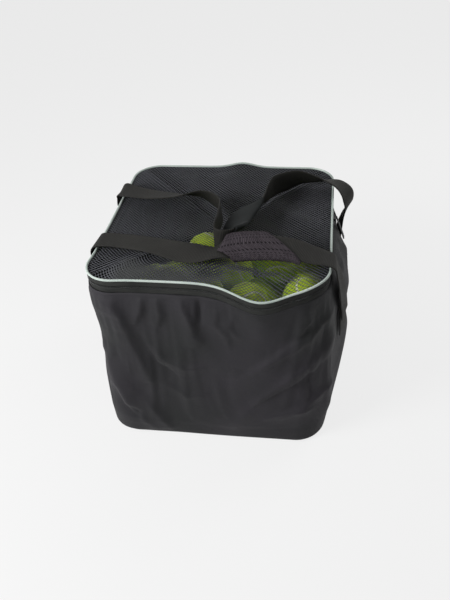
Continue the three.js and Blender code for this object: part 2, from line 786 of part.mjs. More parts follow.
function webbingGeometry(shares) {
  const route = routeAlong(shares);
  const steps = 2 * (shares.length - 1);
  return sweep(Array.from({ length: steps + 1 }, (_, k) => flatSection(route(k / steps), webWidth, webThickness)));
}

// A sleeve round the webbing: a flattened oval with a slot through it for the webbing.
const sleeveCornerShares = [[-1, 0], [-0.86, -1], [0.86, -1], [1, 0], [0.86, 1], [-0.86, 1]];
const slotCornerShares = [[-1, 0], [-1, -1], [1, -1], [1, 0], [1, 1], [-1, 1]];

function sleeveSection({ centre, across, out }, cornerShares, width, thickness) {
  return cornerShares.map(([a, b]) => centre.clone()
    .addScaledVector(across, (a * width) / 2)
    .addScaledVector(out, (b * thickness) / 2));
}

function sleeveGeometry(shares, firstRow, lastRow, width, thickness) {
  const route = routeAlong(shares);
  const last = shares.length - 1;
  const steps = 2 * (lastRow - firstRow);
  const places = Array.from({ length: steps + 1 }, (_, k) => route((firstRow + k / 2) / last));
  const slotWidth = webWidth + 2 * gap;
  const slotThickness = webThickness + 2 * gap;
  const outers = places.map((place) => sleeveSection(place, sleeveCornerShares, width, thickness));
  const inners = places.map((place) => sleeveSection(place, slotCornerShares, slotWidth, slotThickness));
  return sleeveSweep(outers, inners);
}

const frontSleeveRows = [11, 14];
const rearSleeveRows = [17, 20];

// The slider is an extruded plate whose foot hooks under the coil, with a bridge on its face.
const sliderY = zipEndY - sliderLength;
const coilFace = halfWidth + coilProud;
const plateInner = coilFace + gap;
const plateOuter = plateInner + sliderPlate;
const bridgeReach = 3.2;
const bridgeBar = 1.2;
const coilMiddle = rimHeight - (upperCoilBottom + lowerCoilTop) / 2;
const sliderHalfHeight = 4.6;
const footHeight = 1.4;
const footTop = rimHeight - lowerCoilTop - coilHeight - gap;

function sliderGeometry() {
  const bridgeOuter = plateOuter + bridgeReach;
  const top = coilMiddle + sliderHalfHeight;
  const bottom = footTop - footHeight;
  const outline = new THREE.Shape([
    [plateInner, footTop],
    [halfWidth + gap, footTop],
    [halfWidth + gap, bottom],
    [plateOuter, bottom],
    [plateOuter, coilMiddle - sliderHalfHeight / 2],
    [bridgeOuter, coilMiddle - sliderHalfHeight / 2],
    [bridgeOuter, coilMiddle + sliderHalfHeight / 2],
    [plateOuter, coilMiddle + sliderHalfHeight / 2],
    [plateOuter, top],
    [plateInner, top],
  ].map(([x, z]) => new THREE.Vector2(x, z)));
  const bridgeHole = new THREE.Path([
    [plateOuter, coilMiddle - sliderHalfHeight / 2 + bridgeBar],
    [bridgeOuter - bridgeBar, coilMiddle - sliderHalfHeight / 2 + bridgeBar],
    [bridgeOuter - bridgeBar, coilMiddle + sliderHalfHeight / 2 - bridgeBar],
    [plateOuter, coilMiddle + sliderHalfHeight / 2 - bridgeBar],
  ].map(([x, z]) => new THREE.Vector2(x, z)));
  outline.holes.push(bridgeHole);
  const geometry = new THREE.ExtrudeGeometry(outline, { depth: sliderLength, bevelEnabled: false });
  geometry.rotateX(Math.PI / 2);
  return geometry.translate(0, sliderY + sliderLength, 0);
}

// The pull hangs by its loop on the bridge's outer bar, and leans out over the swollen wall.
const pullPivotX = plateOuter + bridgeReach + gap + pullThickness / 2;
const pullTop = coilMiddle + sliderHalfHeight / 2;
const pullLeanAngle = 0.34;

function pullGeometry() {
  const y = sliderY + sliderLength / 2;
  const place = (share) => {
    const drop = pullLength * share;
    return new THREE.Vector3(pullPivotX + drop * Math.sin(pullLeanAngle), y, pullTop - drop * Math.cos(pullLeanAngle));
  };
  const across = new THREE.Vector3(0, 1, 0);
  const out = new THREE.Vector3(Math.cos(pullLeanAngle), 0, Math.sin(pullLeanAngle));
  const widthShares = [[0, 0.5], [0.12, 0.62], [0.3, 0.8], [0.9, 1], [1, 0.8]];
  return sweep(widthShares.map(([share, wide]) =>
    flatSection({ centre: place(share), across, out }, pullWidth * wide, pullThickness)));
}

// Finishes
const finish = (color, roughness, metalness = 0) => new THREE.MeshStandardMaterial({ color, roughness, metalness });
const cloth = finish(0x2b2a2d, 0.8);
const tape = finish(0x3a3b3a, 0.85);
const webbing = finish(0x33322e, 0.9);
const mesh = finish(0x2b2b2c, 0.8);
const piping = finish(0xd4ded8, 0.5);
const board = finish(0x232323, 0.7);
const ribbed = finish(0x3f383d, 0.9);
const smooth = finish(0x3c3f3f, 0.6);
const enamel = finish(0x1c1c1d, 0.4, 0.6);
const felt = finish(0xa9bf20, 0.95);

const hopper = new THREE.Group();

function add(name, geometry, material) {
  const piece = new THREE.Mesh(geometry, material);
  piece.name = name;
  hopper.add(piece);
}

// Bag body
add('bottom_panel', plateGeometry(0, 0, fabric), cloth);
add('base_board', plateGeometry(boardInset, boardBottom, boardThickness), board);
add('front_panel', panelGeometry(0, straightX), cloth);
add('right_panel', panelGeometry(rightStart, straightY), cloth);
add('back_panel', panelGeometry(backStart, straightX), cloth);
add('left_panel', panelGeometry(leftStart, straightY), cloth);
add('zip_tape_lower', zipTapeGeometry(), tape);
add('zip_coil_lower', lowerCoilGeometry(), tape);
add('hinge_strip', hingeStripGeometry(), tape);
add('zip_end_tab', zipEndTabGeometry(), tape);
add('strap_anchor_front_left', anchorGeometry(-1, -1), webbing);
add('strap_anchor_front_right', anchorGeometry(1, -1), webbing);
add('strap_anchor_rear_left', anchorGeometry(-1, 1), webbing);
add('strap_anchor_rear_right', anchorGeometry(1, 1), webbing);

// Balls
add('ball_heap', heapGeometry(lowerHeap.slice(separateHiddenBalls)), felt);
lowerHeap.slice(0, separateHiddenBalls).forEach((ball, k) => {
  add(`ball_${k + 1}`, ballGeometry(ball, hiddenSides), felt);
});
upperHeap.forEach((ball, k) => add(`ball_top_${k + 1}`, ballGeometry(ball, shownSides), felt));

// Lid
add('lid_mesh', netGeometry([...upperHeap, ...lowerHeap]), mesh);
add('lid_piping', pipingGeometry(), piping);
add('lid_band', lidBandGeometry(), tape);
add('zip_coil_upper', upperCoilGeometry(), tape);

// Handles
add('front_handle_strap', webbingGeometry(frontRouteShares), webbing);
add('front_handle_sleeve',
  sleeveGeometry(frontRouteShares, ...frontSleeveRows, ribbedSleeveWidth, ribbedSleeveThickness), ribbed);
add('rear_handle_strap', webbingGeometry(rearRouteShares), webbing);
add('rear_handle_sleeve',
  sleeveGeometry(rearRouteShares, ...rearSleeveRows, smoothSleeveWidth, smoothSleeveThickness), smooth);

// Zip slider
add('zip_slider', sliderGeometry(), enamel);
add('zip_pull', pullGeometry(), webbing);

export default hopper;
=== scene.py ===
import math
import random

import bmesh
import bpy
import numpy as np
from mathutils import Matrix, Vector


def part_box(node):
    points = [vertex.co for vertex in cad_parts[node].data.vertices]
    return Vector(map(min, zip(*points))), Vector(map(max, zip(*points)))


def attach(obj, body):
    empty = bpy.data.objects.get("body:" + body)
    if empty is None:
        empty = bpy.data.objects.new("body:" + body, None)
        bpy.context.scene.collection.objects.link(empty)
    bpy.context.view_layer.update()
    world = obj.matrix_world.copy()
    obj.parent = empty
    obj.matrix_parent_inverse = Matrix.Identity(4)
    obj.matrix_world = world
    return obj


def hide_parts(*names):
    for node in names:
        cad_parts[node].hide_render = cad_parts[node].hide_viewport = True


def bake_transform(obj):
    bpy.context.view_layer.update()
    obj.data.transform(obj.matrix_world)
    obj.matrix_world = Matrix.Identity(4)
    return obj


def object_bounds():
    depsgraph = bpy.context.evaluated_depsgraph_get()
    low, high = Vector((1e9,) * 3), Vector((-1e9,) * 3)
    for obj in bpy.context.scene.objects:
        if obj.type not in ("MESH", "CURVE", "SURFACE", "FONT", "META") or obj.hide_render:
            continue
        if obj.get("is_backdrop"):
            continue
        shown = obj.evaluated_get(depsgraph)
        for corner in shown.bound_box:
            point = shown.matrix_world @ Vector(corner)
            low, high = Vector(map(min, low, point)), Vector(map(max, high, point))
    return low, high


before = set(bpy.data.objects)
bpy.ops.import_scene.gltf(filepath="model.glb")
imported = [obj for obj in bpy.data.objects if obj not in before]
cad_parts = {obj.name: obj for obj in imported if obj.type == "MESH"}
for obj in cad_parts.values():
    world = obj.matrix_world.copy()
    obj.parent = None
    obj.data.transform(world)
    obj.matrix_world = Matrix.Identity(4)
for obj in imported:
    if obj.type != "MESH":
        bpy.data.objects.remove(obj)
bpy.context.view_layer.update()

bpy.ops.object.select_all(action="DESELECT")

# Camera. It looks down on the bag from in front, a little from the right, as a person standing
# over it does, and is rolled by a few degrees.
CAMERA_TURN = 0.18490
CAMERA_RISE = 0.66450
CAMERA_ROLL = -0.0699
CAMERA_DISTANCE = 1.1768
CAMERA_LENS_MM = 39.257
CAMERA_TARGET = Vector((-0.002505, 0.0, 0.158137))

back = Vector((
    math.sin(CAMERA_TURN) * math.cos(CAMERA_RISE),
    -math.cos(CAMERA_TURN) * math.cos(CAMERA_RISE),
    math.sin(CAMERA_RISE),
))
level_right = (-back).cross(Vector((0, 0, 1))).normalized()
level_up = level_right.cross(-back)
camera_right = level_right * math.cos(CAMERA_ROLL) + level_up * math.sin(CAMERA_ROLL)
camera_up = back.cross(camera_right)
camera = bpy.data.objects.new("camera", bpy.data.cameras.new("camera"))
bpy.context.scene.collection.objects.link(camera)
camera.data.lens = CAMERA_LENS_MM
camera.data.clip_start, camera.data.clip_end = 0.05, 20
camera.matrix_world = Matrix.Translation(CAMERA_TARGET + back * CAMERA_DISTANCE) @ Matrix(
    (camera_right, camera_up, back)).transposed().to_4x4()
bpy.context.scene.camera = camera


# Base board. A stiff sheet of black fibreboard that lies loose on the bag's bottom and keeps it
# square; its face is pressed and slightly pitted. It is the CAD solid with its own finish.
def linear(code):
    """A colour written as sRGB hex, as linear red, green, blue and alpha."""
    parts = [int(code[i:i + 2], 16) / 255 for i in (1, 3, 5)]
    return [p / 12.92 if p <= 0.04045 else ((p + 0.055) / 1.055) ** 2.4 for p in parts] + [1.0]


def add_node(material, kind, values=None, **settings):
    """Adds a node. values gives its inputs, by name or number, a value or another node's output."""
    made = material.node_tree.nodes.new("ShaderNode" + kind)
    for key, value in settings.items():
        setattr(made, key, value)
    for key, value in (values or {}).items():
        if isinstance(value, bpy.types.NodeSocket):
            material.node_tree.links.new(value, made.inputs[key])
        else:
            made.inputs[key].default_value = value
    return made


def noise(material, place, scale, detail=3.0, roughness=0.5, **settings):
    """The values of a noise pattern."""
    return add_node(material, "TexNoise", {
        "Vector": place, "Scale": scale, "Detail": detail, "Roughness": roughness}, **settings).outputs["Fac"]


def bump(material, height, strength, distance, **below):
    """The normals of a relief. below gives the Normal of another that it lies on."""
    return add_node(material, "Bump", {
        "Height": height, "Strength": strength, "Distance": distance, **below}).outputs["Normal"]


def start_material(name, **sockets):
    """A material with its shader, whose named sockets are set, and its Object coordinates."""
    material = bpy.data.materials.new(name)
    material.use_nodes = True
    shader = material.node_tree.nodes["Principled BSDF"]
    for key, value in sockets.items():
        shader.inputs[key.replace("_", " ").title().replace("Ior", "IOR")].default_value = value
    place = add_node(material, "TexCoord").outputs["Object"]
    return material, shader, place


def colour_between(material, factor, low, high, from_low=0.3, from_high=0.7):
    """A colour that goes from low to high as a pattern's value goes from from_low to from_high."""
    ramp = add_node(material, "ValToRGB", {"Fac": factor})
    for element, position, code in zip(ramp.color_ramp.elements, (from_low, from_high), (low, high)):
        element.position = position
        element.color = linear(code)
    return ramp.outputs["Color"]


def join_up(material, shader, **outputs):
    """Links outputs to the shader's sockets."""
    for key, output in outputs.items():
        material.node_tree.links.new(output, shader.inputs[key.replace("_", " ").title()])


def coat(piece, material):
    """Gives a piece one finish."""
    piece.data.materials.clear()
    piece.data.materials.append(material)


def give(piece, material, body=None):
    """A piece's finish, and the body it moves with, if it is one."""
    coat(piece, material)
    if body:
        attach(piece, body)


fibreboard, shader, place = start_material(
    "pressed black fibreboard", roughness=0.75, specular_ior_level=0.2)
pits = noise(fibreboard, place, 400.0, 4.0)
join_up(fibreboard, shader, base_color=colour_between(fibreboard, pits, "#1c1c1d", "#2a2a2b"),
        normal=bump(fibreboard, pits, 0.3, 0.0004))
coat(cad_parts["base_board"], fibreboard)


# Bag. Black woven polyester, cut as a strip for the four walls and a square for the bottom, sewn
# together and turned. The balls push the walls out, and the loose cloth falls into soft folds.
HALF = 0.180
CORNER = 0.047
RIM_HEIGHT = 0.330
STRAIGHT = 2 * (HALF - CORNER)
ARC = math.pi / 2 * CORNER
PERIMETER = 4 * (STRAIGHT + ARC)
RIGHT_SWELL, FRONT_SWELL, BACK_SWELL, LEFT_SWELL = 0.033, 0.009, 0.010, 0.006
RIGHT_SWELL_CENTRE = -0.14 * HALF
DENT_CENTRE, DENT_HALF_WIDTH, DENT_FORWARD, DENT_DROP = 0.084, 0.050, 0.020, 0.015
CREST_CENTRE, CREST_HALF_WIDTH, CREST_RISE = 0.015, 0.028, 0.008
CORNER_SAG, CORNER_SAG_HALF_WIDTH = 0.013, 0.048
CORNER_FLARE, CORNER_FLARE_HALF_WIDTH = 0.006, 0.036
WALL_TOP_DROP = 0.0224
WALL_HEIGHT = RIM_HEIGHT - WALL_TOP_DROP
WALL_COLUMNS, WALL_ROWS = 380, 108
FLOOR_RINGS = (0.03, 0.3, 0.6, 0.85, 0.96)
FOLD_RADIUS = 0.007
CLOTH_THICKNESS = 0.0011
SETTLE_SHARE, SETTLE_IN, SETTLE_OUT = 0.8, 0.0025, 0.0045
FIXED_LOW, FIXED_HIGH = 0.012, 0.006


def plan(length):
    """The bag's outline, walked from the front's left end round to the right: x, y and outward x, y."""
    along = length % PERIMETER
    side, past = int(along // (STRAIGHT + ARC)), along % (STRAIGHT + ARC)
    turn = side * math.pi / 2
    dx, dy = math.cos(turn), math.sin(turn)
    start_x, start_y = -STRAIGHT / 2 * dx + HALF * dy, -STRAIGHT / 2 * dy - HALF * dx
    if past <= STRAIGHT:
        return start_x + dx * past, start_y + dy * past, dy, -dx
    bend = (past - STRAIGHT) / CORNER
    nx = dy * math.cos(bend) + dx * math.sin(bend)
    ny = -dx * math.cos(bend) + dy * math.sin(bend)
    centre_x = start_x + dx * STRAIGHT - dy * CORNER
    centre_y = start_y + dy * STRAIGHT + dx * CORNER
    return centre_x + nx * CORNER, centre_y + ny * CORNER, nx, ny


def hump(value, centre, reach):
    """A smooth hump: 1 at the centre and 0 at the edge of its reach."""
    return math.cos(math.pi / 2 * min(1, abs(value - centre) / reach)) ** 2


def bell(value, centre, half_span):
    """A smooth bell: 1 at the centre, and about a third at half_span from it."""
    return math.exp(-((value - centre) / half_span) ** 2)


def rim_level(x, ny):
    """The rim's height, which dips in the front's middle and rises at the back."""
    return (RIM_HEIGHT - DENT_DROP * max(0, -ny) * bell(x, DENT_CENTRE, DENT_HALF_WIDTH)
            + CREST_RISE * max(0, ny) * bell(x, CREST_CENTRE, CREST_HALF_WIDTH))


def dent(x, ny):
    """How far the front of the rim leans out where it dips."""
    return DENT_FORWARD * max(0, -ny) * bell(x, DENT_CENTRE, DENT_HALF_WIDTH)


def corner_flare(x, y):
    """How far the rim stands out at the front left corner."""
    away = math.hypot(x + HALF - CORNER / 3, y + HALF - CORNER / 3)
    return CORNER_FLARE * bell(away, 0, CORNER_FLARE_HALF_WIDTH)


def swell(x, y, nx, ny, share):
    """How far the loaded wall stands out at a share of its height."""
    total = (RIGHT_SWELL * hump(y, RIGHT_SWELL_CENTRE, HALF) * max(0, nx) ** 2
             + LEFT_SWELL * hump(y, 0, HALF) * max(0, -nx) ** 2
             + FRONT_SWELL * hump(x, 0, HALF) * max(0, -ny) ** 2
             + BACK_SWELL * hump(x, 0, HALF) * max(0, ny) ** 2)
    return total * math.sqrt(math.sin(math.pi * min(1, max(0, share))))


# The cloth's main folds: each one's width, how far it stands out, and its two ends, as places round
# the bag and up the wall.
MAIN_FOLDS = [
    (0.024, 0.0050, -0.040, 0.195, 0.030, 0.018),
    (0.018, 0.0040, 0.007, 0.262, 0.034, 0.128),
    (0.024, 0.0045, 0.168, 0.045, 0.330, 0.205),
    (0.022, 0.0036, 0.150, 0.186, 0.335, 0.262),
    (0.016, 0.0040, 0.094, 0.300, 0.110, 0.225),
    (0.024, 0.0045, 0.345, 0.060, 0.430, 0.150),
    (0.018, 0.0040, 0.420, 0.300, 0.455, 0.215),
    (0.018, 0.0036, 0.505, 0.295, 0.480, 0.200),
    (0.024, 0.0045, 0.520, 0.050, 0.610, 0.140),
    (0.020, 0.0036, 0.440, 0.040, 0.500, 0.120),
    (0.024, 0.0045, 0.650, 0.060, 0.730, 0.160),
    (0.020, 0.0040, 0.760, 0.295, 0.790, 0.200),
    (0.020, 0.0040, 0.880, 0.295, 0.850, 0.210),
    (0.024, 0.0045, 0.850, 0.045, 0.935, 0.140),
    (0.020, 0.0036, 0.780, 0.060, 0.830, 0.130),
    (0.024, 0.0045, 1.000, 0.060, 1.085, 0.150),
    (0.020, 0.0040, 1.130, 0.295, 1.165, 0.200),
    (0.022, 0.0045, 1.195, 0.050, 1.280, 0.135),
]


def main_fold(length, share):
    """How far the main folds stand out at a place on the wall."""
    out = 0.0
    for width, depth, round0, height0, round1, height1 in MAIN_FOLDS:
        du, dv = round1 - round0, height1 - height0
        around = (length - round0 + PERIMETER / 2) % PERIMETER - PERIMETER / 2
        above = share * WALL_HEIGHT - height0
        along = min(1, max(0, (around * du + above * dv) / (du * du + dv * dv)))
        out += depth * bell(math.hypot(around - along * du, above - along * dv), 0, width)
    return out * math.sqrt(math.sin(math.pi * min(1, max(0, share))))


def corner_sag(length, share):
    """The cloth sags out over the floor at the front left corner."""
    around = (length + ARC / 2 + PERIMETER / 2) % PERIMETER - PERIMETER / 2
    part = np.interp(share, (0, 0.04, 0.15, 0.4, 0.66, 0.89, 1), (0, 0.85, 1, 0.85, -0.3, 0.6, 0.1))
    return CORNER_SAG * part * bell(around, 0, CORNER_SAG_HALF_WIDTH)


def wall_point(length, share, out=0.0):
    """A place on the wall: how far round, the share of its height, and outwards from the cloth."""
    x, y, nx, ny = plan(length)
    height = share * (rim_level(x, ny) - WALL_TOP_DROP)
    tuck = FOLD_RADIUS - math.sqrt(FOLD_RADIUS ** 2 - max(0, FOLD_RADIUS - height) ** 2)
    push = (out - tuck + swell(x, y, nx, ny, share) + (dent(x, ny) + corner_flare(x, y)) * share ** 3
            + corner_sag(length, share) + main_fold(length, share))
    return Vector((x + nx * push, y + ny * push, height))


def smooth_piece(name, mesh):
    """A piece made of a mesh, with smooth faces."""
    mesh.polygons.foreach_set("use_smooth", [True] * len(mesh.polygons))
    piece = bpy.data.objects.new(name, mesh)
    bpy.context.scene.collection.objects.link(piece)
    return piece


def grid_mesh(name, rows, closed=False, flat=None):
    """A sheet of quads through rows of points. With closed set, each row's end joins its start.
    flat gives the cut sheet's marks in metres, across each row and from row to row, as its UVs."""
    count = len(rows[0])
    points = [p for row in rows for p in row]
    across = count if closed else count - 1
    faces, places = [], []
    for j in range(len(rows) - 1):
        for i in range(across):
            n = (i + 1) % count
            faces.append((j * count + i, j * count + n, (j + 1) * count + n, (j + 1) * count + i))
            if flat:
                places += [(flat[0][i], flat[1][j]), (flat[0][i + 1], flat[1][j]),
                           (flat[0][i + 1], flat[1][j + 1]), (flat[0][i], flat[1][j + 1])]
    mesh = bpy.data.meshes.new(name)
    mesh.from_pydata(points, [], faces)
    if flat:
        layer = mesh.uv_layers.new(name="flat")
        layer.data.foreach_set("uv", [value for pair in places for value in pair])
    return smooth_piece(name, mesh)


def finish_faces(piece, merge=None, ends=None):
    """Merges points closer than merge, closes the first and last ring of a swept body whose rings have
    a number of points, and turns its faces outwards."""
    edit = bmesh.new()
    edit.from_mesh(piece.data)
    if merge:
        bmesh.ops.remove_doubles(edit, verts=edit.verts, dist=merge)
    if ends:
        edit.verts.ensure_lookup_table()
        last = len(edit.verts) - ends
        edit.faces.new([edit.verts[k] for k in range(ends)])
        edit.faces.new([edit.verts[last + k] for k in reversed(range(ends))])
    bmesh.ops.recalc_face_normals(edit, faces=edit.faces)
    edit.to_mesh(piece.data)
    edit.free()


def points_of(piece):
    """The piece's points as rows of x, y and z."""
    flat = np.empty(3 * len(piece.data.vertices))
    piece.data.vertices.foreach_get("co", flat)
    return flat.reshape(-1, 3)


# Each fold of the loose cloth: how wide and how deep it is, and its run as places round the bag and
# up the wall. The first ones lie on the front and its corners, and the others go round the bag.
FOLDS = [
    (0.009, 0.0075, [(-0.023, 0.300), (-0.007, 0.288), (0.004, 0.268), (0.002, 0.235)]),
    (0.007, 0.0065, [(0.040, 0.302), (0.036, 0.278), (0.022, 0.250)]),
    (0.007, 0.0060, [(0.062, 0.302), (0.066, 0.272), (0.058, 0.246)]),
    (0.006, 0.0050, [(0.098, 0.302), (0.104, 0.280), (0.116, 0.250)]),
    (0.0045, -0.0060, [(0.127, 0.306), (0.126, 0.258)]),
    (0.006, 0.0040, [(0.120, 0.302), (0.119, 0.262)]),
    (0.010, 0.0055, [(0.112, 0.275), (0.114, 0.238), (0.128, 0.222)]),
    (0.008, 0.0055, [(0.152, 0.290), (0.148, 0.262), (0.163, 0.238)]),
    (0.006, 0.0035, [(0.176, 0.285), (0.170, 0.258), (0.184, 0.236)]),
    (0.010, 0.0055, [(0.007, 0.262), (0.010, 0.220), (0.030, 0.150), (0.034, 0.128)]),
    (0.009, -0.0060, [(0.024, 0.235), (0.046, 0.172), (0.078, 0.146)]),
    (0.008, 0.0045, [(0.044, 0.205), (0.062, 0.180), (0.096, 0.166), (0.130, 0.172)]),
    (0.010, 0.0060, [(-0.040, 0.195), (-0.020, 0.135), (-0.006, 0.070), (0.030, 0.018)]),
    (0.006, -0.0065, [(-0.024, 0.118), (-0.017, 0.076), (0.002, 0.046)]),
    (0.005, -0.0055, [(-0.010, 0.078), (0.004, 0.062), (0.006, 0.046)]),
    (0.012, 0.0065, [(0.014, 0.100), (0.040, 0.055), (0.058, 0.012)]),
    (0.007, 0.0035, [(0.052, 0.128), (0.094, 0.104), (0.128, 0.112)]),
    (0.009, 0.0050, [(0.168, 0.045), (0.210, 0.105), (0.262, 0.160), (0.330, 0.205)]),
    (0.008, 0.0050, [(0.205, 0.178), (0.262, 0.228), (0.335, 0.262)]),
    (0.010, -0.0055, [(0.190, 0.080), (0.250, 0.128), (0.318, 0.172)]),
    (0.006, 0.0055, [(0.281, 0.300), (0.284, 0.268), (0.272, 0.246)]),
    (0.005, -0.0050, [(0.291, 0.196), (0.288, 0.150), (0.294, 0.112)]),
    (0.009, 0.0045, [(0.240, 0.060), (0.300, 0.098), (0.352, 0.116)]),
    (0.007, 0.0045, [(0.216, 0.058), (0.262, 0.082), (0.300, 0.078)]),
    (0.008, -0.0050, [(0.300, 0.290), (0.318, 0.230), (0.306, 0.160)]),
    (0.006, 0.0035, [(0.182, 0.150), (0.232, 0.196), (0.292, 0.238)]),
]
MORE_FOLDS, FOLD_SEED = 34, 11
SOFT_SIDE, SHARP_SIDE = 1.9, 0.8


def more_folds():
    """Folds on the right, the back and the left, that run down and sideways from the rim and corners."""
    chance = random.Random(FOLD_SEED)
    folds = []
    for _ in range(MORE_FOLDS):
        start = chance.uniform(0.37, PERIMETER - 0.05)
        high = chance.random() < 0.55
        level = 0.300 if high else chance.uniform(0.03, 0.22)
        lean = (chance.uniform(-0.05, 0.05) if high
                else chance.choice((-1, 1)) * chance.uniform(0.05, 0.13))
        drop = -chance.uniform(0.03, 0.09) if high else chance.uniform(0.02, 0.09)
        middle = (start + lean * 0.5 + chance.uniform(-0.008, 0.008), level + drop * 0.55)
        depth = chance.uniform(0.0036, 0.0066) * chance.choice((1, 1, -1))
        run = [(start, level), middle, (start + lean, level + drop)]
        folds.append((chance.uniform(0.006, 0.012), depth, run))
    return folds


def off_run(across, up, run):
    """Each place's distance from a fold's run, its side of it, and its share of the way along."""
    nearest, side, along = np.full_like(across, 9.0), np.zeros_like(across), np.zeros_like(across)
    steps = len(run) - 1
    for k in range(steps):
        (u0, v0), (u1, v1) = run[k], run[k + 1]
        du, dv = u1 - u0, v1 - v0
        off_u = (across - u0 + PERIMETER / 2) % PERIMETER - PERIMETER / 2
        off_v = up - v0
        share = np.clip((off_u * du + off_v * dv) / (du * du + dv * dv), 0, 1)
        gap_u, gap_v = off_u - share * du, off_v - share * dv
        apart = np.hypot(gap_u, gap_v)
        closer = apart < nearest
        nearest = np.where(closer, apart, nearest)
        side = np.where(closer, np.sign(gap_u * dv - gap_v * du), side)
        along = np.where(closer, (k + share) / steps, along)
    return nearest, side, along


def fold_depth(rounds, heights, folds):
    """How far the folds push the cloth out: sharp on one side of their crest and soft on the other."""
    total = np.zeros_like(rounds)
    for width, depth, run in folds:
        nearest, side, along = off_run(rounds, heights, run)
        soft = np.where(side > 0, width * SOFT_SIDE, width * SHARP_SIDE)
        total += depth * np.exp(-(nearest / soft) ** 1.35) * (0.2 + 0.8 * np.sin(math.pi * along) ** 0.7)
    return total


wall_marks = [PERIMETER * i / WALL_COLUMNS for i in range(WALL_COLUMNS + 1)]
wall_shares = [j / WALL_ROWS for j in range(WALL_ROWS + 1)]
fold_shares = [share * wall_shares[2] for share in (0.0, 0.12, 0.35, 0.65)]
wall_shares = fold_shares + wall_shares[2:]
wall_rows = [[wall_point(mark, share) for mark in wall_marks[:-1]] for share in wall_shares]
floor_rows = [[Vector((p.x * keep, p.y * keep, 0.0)) for p in wall_rows[0]] for keep in FLOOR_RINGS]
row_marks = [-HALF * (1 - keep) for keep in FLOOR_RINGS] + [share * WALL_HEIGHT for share in wall_shares]
bag_cloth = grid_mesh("bag_cloth", floor_rows + wall_rows, closed=True, flat=(wall_marks, row_marks))
bag_faces = bmesh.new()
bag_faces.from_mesh(bag_cloth.data)
bag_faces.verts.ensure_lookup_table()
bag_faces.faces.new([bag_faces.verts[k] for k in reversed(range(WALL_COLUMNS))])
bag_faces.to_mesh(bag_cloth.data)
bag_faces.free()


def settle_cloth(piece, loose, frames, slack, pressure, stiffness):
    """Lets the sheet hang as loose cloth: loose gives, for each point, 0 where it is sewn fast."""
    group = piece.vertex_groups.new(name="sewn")
    for k, value in enumerate(loose):
        group.add([k], 1 - value, "REPLACE")
    modifier = piece.modifiers.new("cloth", "CLOTH")
    modifier.settings.quality = 6
    modifier.settings.vertex_group_mass = "sewn"
    modifier.settings.mass = 0.15
    modifier.settings.tension_stiffness = modifier.settings.compression_stiffness = stiffness
    modifier.settings.shear_stiffness = stiffness / 2
    modifier.settings.bending_stiffness = 0.4
    modifier.settings.shrink_min = -slack
    modifier.settings.use_pressure = pressure > 0
    modifier.settings.uniform_pressure_force = pressure
    modifier.point_cache.frame_start, modifier.point_cache.frame_end = 1, frames
    modifier.collision_settings.use_collision = False
    for frame_number in range(1, frames + 1):
        bpy.context.scene.frame_set(frame_number)
    bpy.context.view_layer.objects.active = piece
    bpy.ops.object.modifier_apply(modifier="cloth")
    bpy.context.scene.frame_set(1)
    piece.vertex_groups.clear()


# The simulation and the folds both move the walls' points straight out or in. Near the bottom, and at
# the seam under the zip, they ease off.
bag_start = points_of(bag_cloth)
wall_first = WALL_COLUMNS * len(floor_rows)
heights = bag_start[wall_first:, 2]
bag_outwards = np.zeros_like(bag_start)
for k, mark in enumerate(wall_marks[:-1]):
    bag_outwards[wall_first + k::WALL_COLUMNS, :2] = plan(mark)[2:]
loose = np.zeros(len(bag_start))
loose[wall_first:] = np.clip((heights - FIXED_LOW) / 0.03, 0, 1) * np.clip(
    (WALL_HEIGHT - FIXED_HIGH - heights) / 0.02, 0, 1)
settle_cloth(bag_cloth, np.sqrt(loose), frames=22, slack=0.018, pressure=0.6, stiffness=12.0)
moved = np.einsum("ij,ij->i", points_of(bag_cloth) - bag_start, bag_outwards)
settled = np.clip(SETTLE_SHARE * moved, -SETTLE_IN, SETTLE_OUT)
rounds = np.tile(np.array(wall_marks[:-1]), len(wall_rows))
folds = fold_depth(rounds, heights, FOLDS + more_folds())
ease = np.clip(heights / 0.02, 0, 1) * np.clip((WALL_HEIGHT - heights + 0.002) / 0.014, 0, 1)
low_ease = np.clip((heights - FIXED_LOW) / 0.10, 0, 1) ** 1.5
settled[wall_first:] = settled[wall_first:] * low_ease + folds * ease
bag_points = bag_start + bag_outwards * settled[:, None]
bag_cloth.data.vertices.foreach_set("co", bag_points.ravel())
bag_cloth.data.update()
inwards = bag_cloth.modifiers.new("thickness", "SOLIDIFY")
inwards.thickness, inwards.offset = CLOTH_THICKNESS, -1.0
bpy.context.view_layer.objects.active = bag_cloth
bpy.ops.object.modifier_apply(modifier=inwards.name)


def wave_scale(pitch):
    """The Scale of a wave pattern whose bands lie a pitch apart, in metres."""
    return math.pi / 10 / pitch


def weave(material, pitches, distortions=(0.4, 0.4), detail_scale=2.0):
    """Threads over and under, on the cut sheet's own marks: their height. The pitches are across the
    sheet's rows and along them."""
    marks = add_node(material, "TexCoord").outputs["UV"]
    bands = [add_node(material, "TexWave", {
        "Vector": marks, "Scale": wave_scale(pitch), "Distortion": distortion, "Detail": 1.0,
        "Detail Scale": detail_scale}, bands_direction=direction).outputs["Fac"]
        for direction, pitch, distortion in zip("XY", pitches, distortions)]
    return add_node(material, "Math", {0: bands[0], 1: bands[1]}, operation="MULTIPLY").outputs[0]


def multiplied(material, colour, light):
    """A colour shaded by another."""
    return add_node(material, "Mix", {0: 1.0, 6: colour, 7: light},
                    data_type="RGBA", blend_type="MULTIPLY").outputs[2]


def join_weave(material, shader, threads, drift, colours, lights, relief, **below):
    """A woven finish: its colour drifts, painted shade darkens it between its threads, and its threads stand
    out.
    """
    # The threads' pattern paints shade between them into the colour.
    colour = multiplied(material, colour_between(material, drift, *colours),
                        colour_between(material, threads, *lights))
    join_up(material, shader, base_color=colour, normal=bump(material, threads, *relief, **below))


